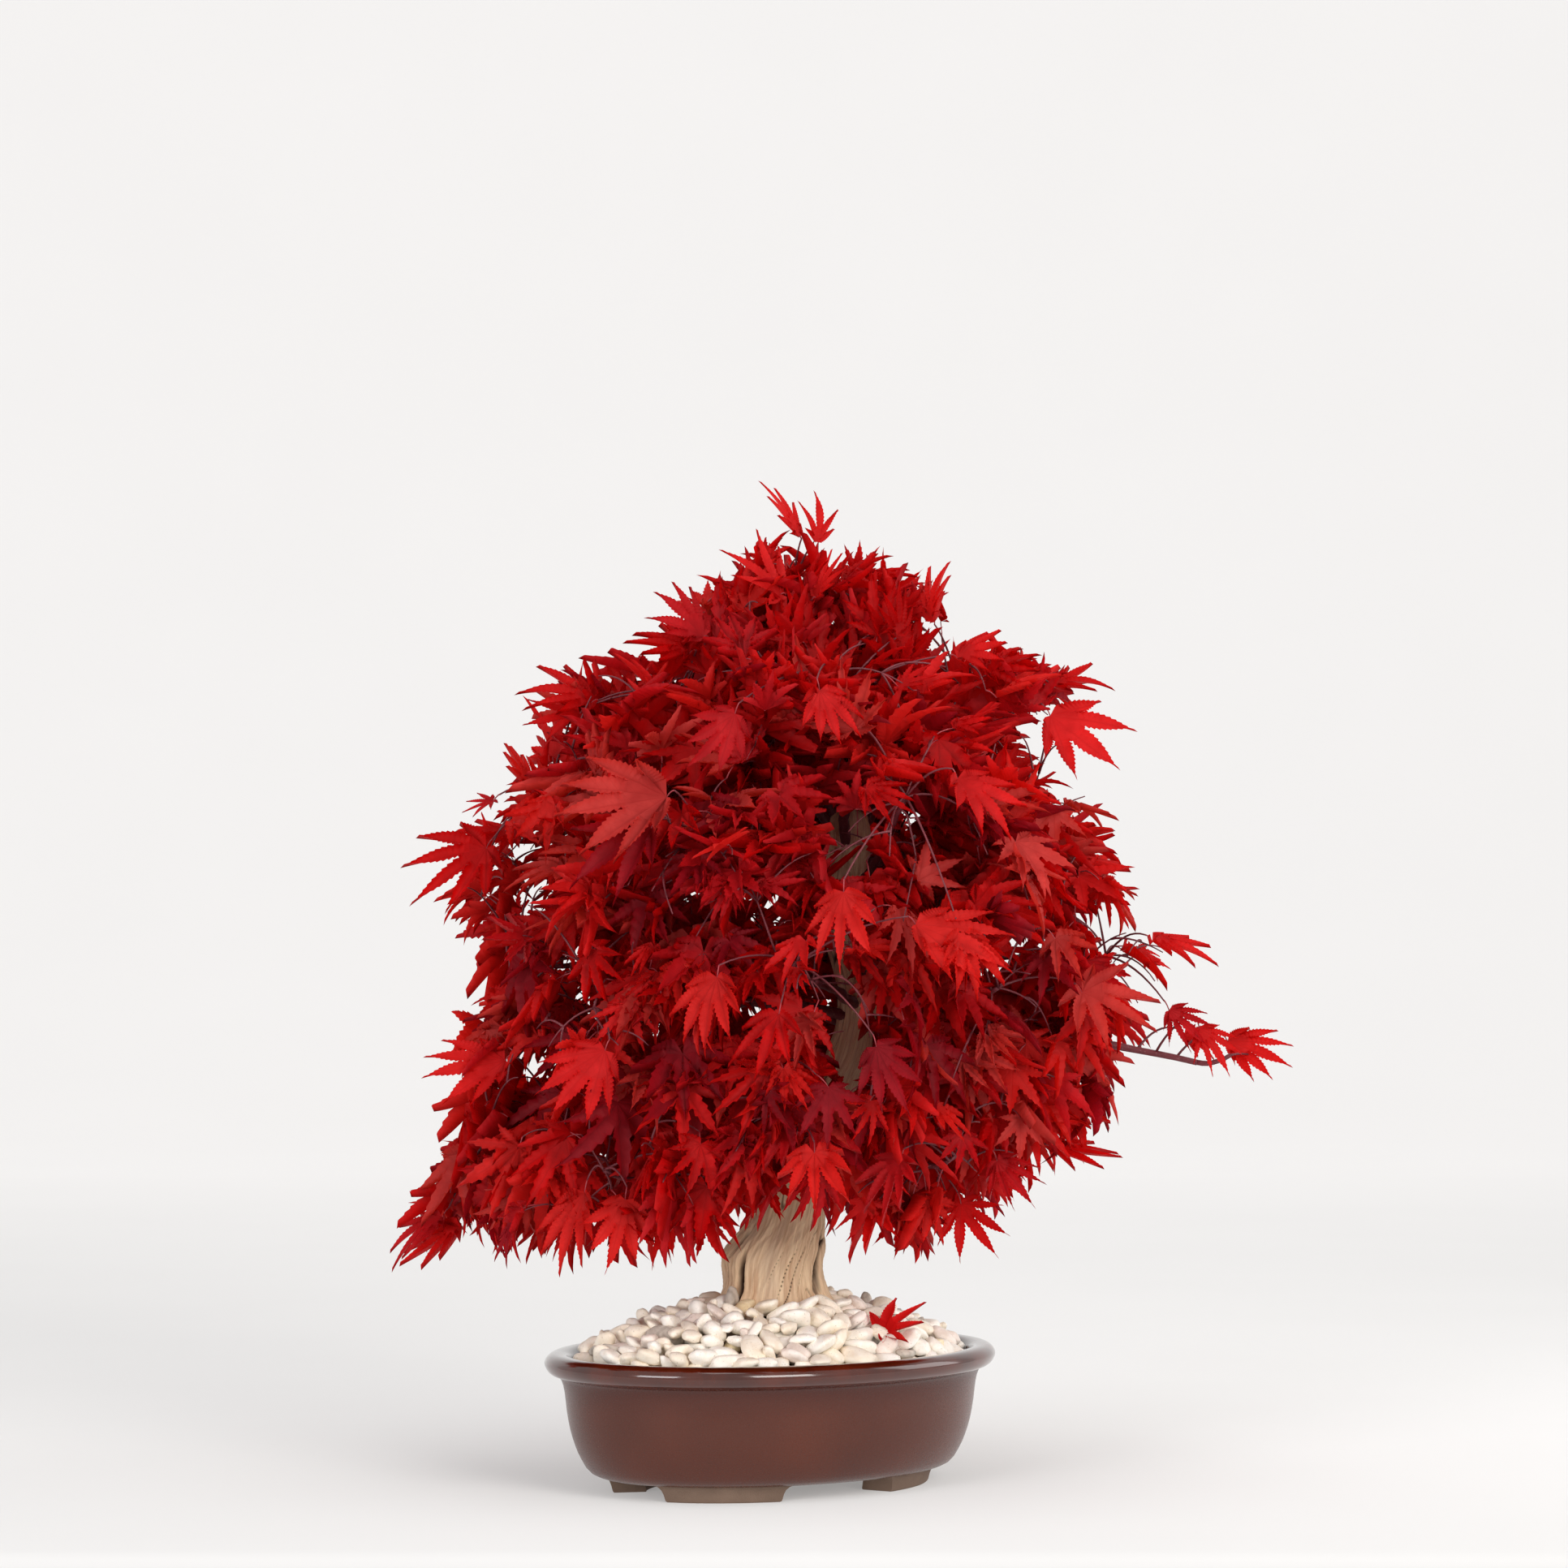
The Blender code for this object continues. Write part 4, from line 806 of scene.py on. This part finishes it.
def leaf_plan(rng, teeth, fan, open_share):
    """A flat leaf one unit long: points, triangles, and places along and across their lobes.

    A fan of 1 sets the lobes 40 degrees apart, and a leaf that is half shut has less."""
    lobes = FIVE_LOBES if rng.random() < 0.35 else SEVEN_LOBES
    lobes = [(math.radians(a * fan + rng.uniform(-4, 4)), r * rng.uniform(0.92, 1.06))
             for a, r in lobes]
    points, where, faces = [(0.0, 0.0)], [(0.0, 0.0)], []
    steps = teeth + TIP_TEETH

    def put(x, y, along, across):
        points.append((x, y))
        where.append((along, across))
        return len(points) - 1

    def cleft_at(angle, deep, along):
        return put(deep * math.cos(angle), deep * math.sin(angle), along, 1)

    clefts = [cleft_at(lobes[0][0] - HEEL_TURN, HEEL, 0.1)]
    for (a, r), (b, s) in zip(lobes, lobes[1:]):
        deep = open_share * rng.uniform(0.93, 1.07) * (0.35 + 0.65 * min(r, s))
        clefts.append(cleft_at((a + b) / 2, deep, 0.35))
    clefts.append(cleft_at(lobes[-1][0] + HEEL_TURN, HEEL, 0.1))
    for number, (angle, length) in enumerate(lobes):
        along = (math.cos(angle), math.sin(angle))
        side = (-along[1], along[0])
        bend = rng.uniform(-0.10, 0.10)
        ends = []
        for cleft in clefts[number:number + 2]:
            x, y = points[cleft]
            ends.append((x * along[0] + y * along[1], x * side[0] + y * side[1]))
        start = max(0.04, (ends[0][0] + ends[1][0]) / 2)
        belly = LOBE_BELLY * (0.5 + 0.5 * length) * rng.uniform(0.8, 1.25)

        def at(t, w):
            swing = bend * max(0.0, t - start) ** 2 / max(length, 0.1)
            return (along[0] * t + side[0] * (w + swing), along[1] * t + side[1] * (w + swing))

        tip = put(*at(length, 0), 1, 0)
        ribs = []
        for j in range(teeth + 1):
            t = start + (length - start) * j / steps
            ribs.append(put(*at(t, 0), t / length, 0))
        for sign, (t0, w0), cleft in zip((-1, 1), ends, clefts[number:number + 2]):
            edge = [cleft]
            for j in range(teeth):
                for share, out in ((0.78, 1.0), (1.0, -1.0)):
                    q = (j + share) / steps
                    t = t0 + (length - t0) * q
                    # The lobe swells to its belly, and past 0.9 is drawn out to a thread
                    u = min(q / 0.9, 1)
                    w = abs(w0) * (1 - u) ** 1.25 + belly * 4.2 * u * (1 - u) ** 1.2
                    w = max(0.004, w + out * TOOTH_DEPTH / teeth ** 0.65 * (1 - 0.75 * q))
                    edge.append(put(*at(t, sign * w), t / length, 1))
            half = [(0, ribs[0], cleft)]
            for j in range(teeth):
                notch, tooth, following = edge[2 * j:2 * j + 3]
                half += [(ribs[j], tooth, notch), (ribs[j], ribs[j + 1], tooth),
                         (ribs[j + 1], following, tooth)]
            half.append((ribs[teeth], tip, edge[-1]))
            faces += [(a, b, c) if sign > 0 else (a, c, b) for a, b, c in half]
    return np.array(points), np.array(faces), np.array(where)


# Plans for the crown's leaves, and finer ones for the leaves that are seen best
rng = random.Random(31)
leaf_plans = [leaf_plan(rng, TEETH, rng.uniform(0.50, 0.96), rng.uniform(0.20, 0.36))
              for _ in range(18)]
fine_plans = [leaf_plan(rng, 2 * TEETH, rng.uniform(0.42, 0.84), rng.uniform(0.22, 0.38))
              for _ in range(12)]


class Leaves:
    """Leaves of one tint, gathered into one mesh."""

    def __init__(self):
        self.verts, self.faces, self.where, self.count = [], [], [], 0

    def lay(self, plan, root, aim, normal, length, fold, droop, twist, wave, cup):
        """Adds a leaf: its root, where its middle lobe aims, which way it faces, and its bend.

        Each lobe folds along its rib and droops by itself, as the wave's turn decides."""
        flat, faces, where = plan
        x, y = flat[:, 0], flat[:, 1]
        far = np.hypot(x, y)
        lobe_droop = droop * (1 + 1.3 * np.sin(3.6 * np.arctan2(y, x) + wave))
        rise = fold * where[:, 1] * (0.05 + 0.10 * (1 - far)) - lobe_droop * far ** 2.4
        rise = rise + twist * x * y - 0.10 * droop * np.abs(y) + cup * y ** 2
        side = normal.cross(aim)
        axes = np.array((aim, side, normal))
        local = np.stack((x * (1 - 0.35 * droop * far), y * (1 - 0.25 * droop * far), rise), 1)
        self.faces.append(faces + self.count)
        self.verts.append(local * length @ axes + np.array(root))
        self.where.append(where)
        self.count += len(x)


# Leaf tints: a thin satin skin over dyed pulp. Each tint mottles over a centimetre or two, its
# veins are a shade darker, and light from behind glows through it. A row holds its name, body,
# shade, glow, share of the leaves, and slot.
TINTS = (("scarlet maple leaf", "DC2622", "BC1714", "F01810", 0.16, "leaf_bright"),
         ("bright red maple leaf", "DA1E1F", "B61112", "F01006", 0.24, "leaf_bright"),
         ("deep red maple leaf", "CC0709", "A40407", "E00805", 0.20, "leaf_deep"),
         ("crimson maple leaf", "C8181F", "A21119", "D81014", 0.16, "leaf_crimson"),
         ("dusky crimson maple leaf", "9A101E", "7C0916", "BC0A14", 0.10, "leaf_deep"),
         # The rose-red tint is whiter than its dye alone, partly as painted sheen on the outer
         # leaves
         ("rose-red maple leaf, paled as painted sheen", "CC403B", "AE2E2B", "E83020", 0.14, "leaf_crimson"))
tint_leaves, tint_finishes = [], []
tint_shares = [row[4] for row in TINTS]
for name, body, shade, glow, *_ in TINTS:
    leaf_skin, tree, surface = finish_named(name, {"IOR": 1.38, "Specular IOR Level": 0.25})
    place = add(tree, "TexCoord")
    map_on = add(tree, "UVMap", uv_map="lobe")
    split = add(tree, "SeparateXYZ", {"Vector": map_on.outputs["UV"]})
    mottle = add(tree, "TexNoise", {"Vector": place.outputs["Object"], "Scale": 1 / (16 * MM),
                                    "Detail": 4})
    patch = add(tree, "MapRange", {"Value": mottle.outputs["Fac"], "From Min": 0.3,
                                   "From Max": 0.7})
    pulp = add(tree, "Mix", {0: patch.outputs["Result"], 6: linear(body), 7: linear(shade)},
               data_type="RGBA")
    # The midrib runs where the map's second value is near 0. Side veins slope off it, one on
    # every twelfth of the lobe.
    rib = add(tree, "MapRange", {"Value": split.outputs["Y"], "From Min": 0.16, "From Max": 0.03,
                                 "To Max": 0.55})
    slope = add(tree, "Math", {0: split.outputs["Y"], 1: -0.12}, operation="MULTIPLY")
    course = add(tree, "Math", {0: split.outputs["X"], 1: slope.outputs[0]}, operation="ADD")
    beat = add(tree, "Math", {0: course.outputs[0], 1: 75.0}, operation="MULTIPLY")
    swing = add(tree, "Math", {0: beat.outputs[0]}, operation="SINE")
    vein = add(tree, "MapRange", {"Value": swing.outputs[0], "From Min": 0.80, "From Max": 1.0,
                                  "To Max": 0.30})
    lines = add(tree, "Math", {0: rib.outputs["Result"], 1: vein.outputs["Result"]},
                operation="MAXIMUM")
    veined = add(tree, "Mix", {0: lines.outputs[0], 6: pulp.outputs[2], 7: linear(shade)},
                 data_type="RGBA")
    satin = add(tree, "MapRange", {"Value": mottle.outputs["Fac"], "To Min": 0.48,
                                   "To Max": 0.68})
    relief = add(tree, "Bump", {"Height": lines.outputs[0], "Distance": 0.3 * MM,
                                "Strength": 0.6}, invert=True)
    tree.links.new(veined.outputs[2], surface.inputs["Base Color"])
    tree.links.new(satin.outputs["Result"], surface.inputs["Roughness"])
    tree.links.new(relief.outputs["Normal"], surface.inputs["Normal"])
    through = add(tree, "BsdfTranslucent", {"Color": linear(glow)})
    both = add(tree, "MixShader", {0: GLOW_SHARE, 1: surface.outputs[0], 2: through.outputs[0]})
    output = tree.nodes["Material Output"]
    tree.links.new(both.outputs[0], output.inputs["Surface"])
    tint_leaves.append(Leaves())
    tint_finishes.append(leaf_skin)


def lay_leaf(plan, joint, root, aim, face, length, pick, fold, droop, twist, cup):
    """Lays one leaf and the stalk that holds it on its joint."""
    face = (face - aim * face.dot(aim)).normalized()
    tint_leaves[pick].lay(plan, root, aim, face, length, fold, droop, twist,
                          chance.uniform(0, 6.28), cup)
    bend = (joint + root) / 2 + Vector((0, 0, 2.5 * MM))
    stalk_rods.run(bow(joint, bend, root, 3), [0.7 * MM, 0.55 * MM, 0.5 * MM, 0.5 * MM], 4)


# Leaves that stand out on the best side and along the outline: the stalk's end, the middle
# lobe's tip (mm) and the tint's number. Each has a shoot of its own from the nearest stem.
SHOWN = (((-80, -200, 552), (-176, -214, 533), 5), ((-92, -196, 528), (-158, -218, 487), 4),
         ((33, -223, 281), (35, -272, 236), 0), ((144, -220, 446), (162, -256, 396), 0),
         ((110, -218, 455), (190, -240, 424), 0), ((55, -242, 480), (53, -270, 415), 0),
         ((-145, -138, 245), (-168, -160, 180), 0), ((-113, -161, 241), (-128, -180, 183), 0),
         ((-210, -71, 344), (-282, -94, 329), 1), ((-226, -50, 511), (-288, -79, 469), 2),
         ((21, -16, 759), (-4, -22, 807), 1), ((34, -26, 755), (40, -32, 796), 1),
         ((7, -53, 712), (-37, -72, 753), 1), ((35, -62, 709), (58, -72, 748), 1),
         ((220, -63, 616), (283, -95, 571), 1), ((224, -36, 638), (270, -46, 651), 2),
         ((302, -40, 437), (354, -57, 425), 1), ((365, 0, 356), (420, -15, 336), 1),
         ((330, 0, 360), (366, -7, 347), 2), ((316, -32, 382), (350, -42, 350), 3),
         ((340, -34, 368), (368, -38, 328), 1), ((-196, -18, 560), (-215, -22, 599), 0),
         ((-222, -20, 548), (-248, -24, 539), 3), ((149, -85, 232), (175, -102, 187), 2),
         ((100, -176, 272), (81, -199, 223), 3), ((176, -117, 268), (207, -140, 231), 3),
         ((222, -54, 272), (278, -71, 264), 2), ((129, -55, 690), (130, -65, 742), 1),
         ((146, -82, 661), (191, -97, 674), 1), ((98, -73, 679), (98, -81, 727), 2),
         ((-54, -64, 678), (-95, -82, 719), 3), ((-65, -63, 665), (-119, -80, 679), 2),
         ((-144, -14, 627), (-201, -26, 649), 2), ((-153, -20, 618), (-200, -34, 608), 2),
         ((-263, -11, 216), (-312, -30, 181), 3), ((-247, -18, 207), (-299, -31, 175), 1),
         ((241, -140, 400), (298, -163, 367), 5), ((-41, -230, 415), (-56, -263, 356), 0),
         ((-128, -177, 357), (-173, -208, 302), 1), ((6, -230, 387), (-12, -261, 333), 2),
         ((80, -223, 362), (104, -254, 311), 4), ((37, -185, 634), (56, -213, 584), 1),
         ((-28, -180, 616), (-62, -203, 572), 3), ((143, -182, 566), (186, -214, 522), 1))
stem_points = [point for stem in stems for point in stem]
shown_at = []
for root, tip, pick in SHOWN:
    # Leaves on the front turn their faces forward; those on the outline lie flat, faces up
    forward = 0.2 + 0.5 * min(max(-root[1] / 150, 0), 1)
    root, tip = placed(*root), placed(*tip)
    aim = (tip - root).normalized()
    back = root - aim * 40 * MM
    stem_point = min(stem_points, key=lambda p: (p - back).length)
    joint = root - aim * 6 * MM + Vector((0, 0, 4 * MM))
    shoot = bow(stem_point, (stem_point + joint) / 2 + Vector((0, 0, 14 * MM)), joint, 8)
    twig_rods.run(shoot, [(1.15 - 0.06 * i) * MM for i in range(9)], 5, 0.2)
    face = to_pot @ Vector((chance.uniform(-0.6, 0.6), -forward, chance.uniform(0.3, 1.0)))
    lay_leaf(chance.choice(fine_plans), joint, root, aim, face, (tip - root).length, pick,
             chance.uniform(0.4, 1.1), chance.uniform(0.05, 0.16), chance.uniform(-0.3, 0.3),
             chance.uniform(0.0, 0.5))
    shown_at.append((in_tree(root + (tip - root) * 0.4), (tip - root).length * 0.55))


# Openings in the foliage, seen from the best side, through which the trunk or the sky shows: x,
# height and radius (mm)
TRUNK_OPENINGS = ((60, 522, 12), (52, 410, 10), (60, 374, 12), (66, 342, 12))
SKY_OPENINGS = ((-59, 463, 5), (-6, 451, 5), (-156, 416, 4), (-147, 376, 7), (-192, 328, 8),
                (-17, 374, 5), (-88, 358, 5), (-128, 250, 4), (-205, 506, 7), (-192, 470, 5),
                (129, 686, 6), (147, 673, 6), (209, 612, 6), (218, 591, 8), (236, 556, 6),
                (117, 529, 4), (205, 434, 6), (273, 421, 6), (259, 450, 5), (297, 389, 6),
                (183, 410, 5))


def shuts(root, aim, length):
    """Whether a leaf would stand before one of the leaves above, or in an opening."""
    at = in_tree(root + aim * length * 0.4)

    def fills(openings, leaf_share):
        return any(math.hypot(at.x - x * MM, at.z - z * MM) < r * MM + leaf_share * length
                   for x, z, r in openings)

    if any(abs(at.x - c.x) < r and abs(at.z - c.z) < r and at.y < c.y + 12 * MM
           for c, r in shown_at):
        return True
    return (at.y < 0 and fills(TRUNK_OPENINGS, 0.48)) or fills(SKY_OPENINGS, 0.36)


def fits(point):
    """Whether a lobe's tip lies in the plant's own box, seen from above, and its spare room."""
    return all(low - SPARE < at < high + SPARE
               for low, at, high in zip(cad_low.xy, point.xy, cad_high.xy))


for own, joint, heading, turn, pair, tint in joints:
    across = heading.cross(Vector((0, 0, 1)))
    across = across.normalized() if across.length > 0.1 else Vector((1, 0, 0))
    over = across.cross(heading)
    reach = MASSES[own][1] * MM
    for one in range(pair):
        around = turn + one * math.pi
        outward = across * math.cos(around) + over * math.sin(around)
        for trial in range(LEAF_TRIALS):
            length = chance.triangular(*LEAF_LENGTHS) * MM * (1 - 0.02 * trial)
            stalk = chance.uniform(8, 22) * MM
            outer = leaf_way(joint)
            away = (heading * 0.6 + outward * 0.5 + outer * 0.4 + wander(0.25)).normalized()
            root = joint + away * stalk
            aim = outer * 0.75 + outward * 0.55 + wander(0.35)
            # Low leaves hang; those at the top of the tree stand up
            aim.z += -0.42 + 0.75 * min(max((root.z - 0.42) / 0.30, 0), 1)
            aim.normalize()
            face = Vector((0, 0, 0.9)) + outer * 0.4 + wander(0.65)
            side = face.cross(aim).normalized() * length * 0.62
            tips = [root + aim * length * 0.97, root + aim * length * 0.55 + side,
                    root + aim * length * 0.55 - side]
            edge = chance.uniform(0.90, 1.0)
            if (own_space(tips[0], own, reach, edge) and not shuts(root, aim, length)
                    and all(map(fits, tips))
                    and (reach < LONE_REACH * MM or max(map(leafy_edge, tips[1:])) < 1.06)):
                break
        else:
            continue
        pick = share_at(min(max(tint + chance.uniform(-0.12, 0.12), 0), 0.999), tint_shares)
        # Leaves in the crown's depth take the deep red or crimson tint, as painted shade for its
        # dark inside
        if leafy_edge(root) < chance.uniform(0.5, 0.75):
            pick = chance.choice((2, 2, 3))
        lay_leaf(chance.choice(leaf_plans), joint, root, aim, face, length, pick,
                 chance.uniform(0.4, 1.6), chance.uniform(0.04, 0.25), chance.uniform(-0.4, 0.4),
                 chance.uniform(-0.2, 0.65))


def leaf_piece(name, leaves, finish):
    """A piece of gathered leaves, with the map that their veins follow."""
    item = piece(name, np.vstack(leaves.verts), np.vstack(leaves.faces), [finish])
    lobe_uv = corner_values(item, np.vstack(leaves.where))
    item.data.uv_layers.new(name="lobe").data.foreach_set("uv", lobe_uv.ravel())
    return item


masses = [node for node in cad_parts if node.startswith("mass_")]
for number, (leaves, finish, row) in enumerate(zip(tint_leaves, tint_finishes, TINTS)):
    item = leaf_piece("leaves_%d" % (number + 1), leaves, finish)
    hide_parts(*masses)

boughs = piece("boughs", bough_rods.verts, bough_rods.faces, [bark])
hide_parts(*[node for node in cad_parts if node.startswith("bough_")])
twigs = piece("twigs", twig_rods.verts, twig_rods.faces, [bark])
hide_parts(*masses)
stalks = piece("leaf_stalks", stalk_rods.verts, stalk_rods.faces, [young_bark])
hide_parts(*masses)


# --- Fallen leaf ---
# One leaf that has dropped from the crown, dyed and supple like the rest. It lies loose on the
# pebbles in front of the trunk, with its tip raised.

fallen = Leaves()
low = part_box("fallen_leaf")[0]
fallen_root = placed(88, -56, low.z / MM + 13)
aim = (to_pot @ Vector((0.77, 0.25, 0.60))).normalized()
face = to_pot @ Vector((-0.41, -0.53, 0.75))
face = (face - aim * face.dot(aim)).normalized()
fallen.lay(leaf_plan(random.Random(5), 9, 0.95, 0.36), fallen_root, aim, face, 44 * MM, 0.9, 0.06,
           0.1, 0, 0.2)
item = leaf_piece("fallen_leaf_red", fallen, tint_finishes[1])
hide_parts("fallen_leaf")


# --- Studio ---
# A white acrylic table top, whose front edge lies just before the pot. Far behind the plant it
# curves up into a tall wall, and the wall is lit from inside so that it stays as white as the top.

TABLE_FRONT, TABLE_BACK = -0.385, 4.0  # the table top's edges, from the pot's middle (m)
CURVE_RADIUS, WALL_TOP, HALF_WIDTH = 2.0, 7.0, 7.0     # (m)

# Matt acrylic, whose own light grows from the table's front edge back to the wall
acrylic, tree, surface = finish_named("white background acrylic", {"Roughness": 0.9})
surface.inputs["Emission Color"].default_value = linear("FFFDFC")
place = add(tree, "TexCoord").outputs["Object"]
behind = add(tree, "VectorMath", {0: place, 1: to_pot @ Vector((0, 1, 0))},
             operation="DOT_PRODUCT")
lit = add(tree, "MapRange", {"Value": behind.outputs["Value"], "From Min": -0.3, "From Max": 3.6,
                             "To Min": 0.26, "To Max": 0.50})
tree.links.new(lit.outputs["Result"], surface.inputs["Emission Strength"])
# Its white drifts a little over a third of a metre
drift = add(tree, "TexNoise", {"Vector": place, "Scale": 3.0, "Detail": 2})
white = add(tree, "Mix", {0: drift.outputs["Fac"], 6: linear("B4B3B2"), 7: linear("B8B7B6")},
            data_type="RGBA")
tree.links.new(white.outputs[2], surface.inputs["Base Color"])
# Down the front edge, over its rounding, back along the top, round the curve and up the wall
outline = [(TABLE_FRONT, -0.9), (TABLE_FRONT, -0.09), (TABLE_FRONT, -0.012),
           (TABLE_FRONT + 0.006, 0.0), (TABLE_BACK, 0.0)]
outline += [(TABLE_BACK + CURVE_RADIUS * math.sin(a), CURVE_RADIUS - CURVE_RADIUS * math.cos(a))
            for a in [math.pi / 2 * i / 16 for i in range(1, 17)]]
outline.append((TABLE_BACK + CURVE_RADIUS, WALL_TOP))
verts = [to_pot @ Vector((x, y, z)) + pot_axis for x in (-HALF_WIDTH, HALF_WIDTH)
         for y, z in outline]
count = len(outline)
faces = [(i, i + 1, count + i + 1, count + i) for i in range(count - 1)]
sweep = shape("sweep", verts, faces, [acrylic])


def softbox(name, stand, toward, wide, tall, power, colour):
    """A large soft lamp at a place in the tree's frame, in metres, facing a point."""
    lamp = bpy.data.lights.new(name, "AREA")
    lamp.shape = "RECTANGLE"
    lamp.size, lamp.size_y = wide, tall
    lamp.energy = power
    lamp.color = linear(colour)[:3]
    item = stand_in_scene(name, lamp)
    item.location = placed(*[c * 1000 for c in stand])
    aim_at = placed(*[c * 1000 for c in toward])
    item.rotation_euler = (aim_at - item.location).to_track_quat("-Z", "Y").to_euler()


softbox("key", (1.7, -3.0, 1.35), (0, 0, 0.35), 1.6, 1.6, 64, "FFFCF8")
softbox("fill", (-2.2, -3.4, 0.9), (0, 0, 0.35), 1.8, 1.6, 58, "FCFCFF")
softbox("background", (1.5, 0.25, 0.8), (-0.5, 0.95, 0.35), 1.0, 1.0, 7, "FFFFFF")
softbox("overhead", (0.3, -0.6, 2.6), (0, 0, 0.3), 1.6, 1.4, 14, "FFFFFF")

# An even white room
world = bpy.data.worlds.new("studio")
world.use_nodes = True
world.node_tree.nodes["Background"].inputs["Color"].default_value = (1, 1, 1, 1)
world.node_tree.nodes["Background"].inputs["Strength"].default_value = 0.66
bpy.context.scene.world = world
bpy.context.scene.view_settings.view_transform = "Standard"

# A long lens, level with the middle of the crown
camera = bpy.data.cameras.new("camera")
camera.sensor_width = 36
camera.lens = 129.0
camera.clip_end = 100
viewer = stand_in_scene("camera", camera)
viewer.location = placed(9.75, -4500, 562)
viewer.rotation_euler = (to_pot @ Vector((0, 1, 0))).to_track_quat("-Z", "Y").to_euler()
bpy.context.scene.camera = viewer
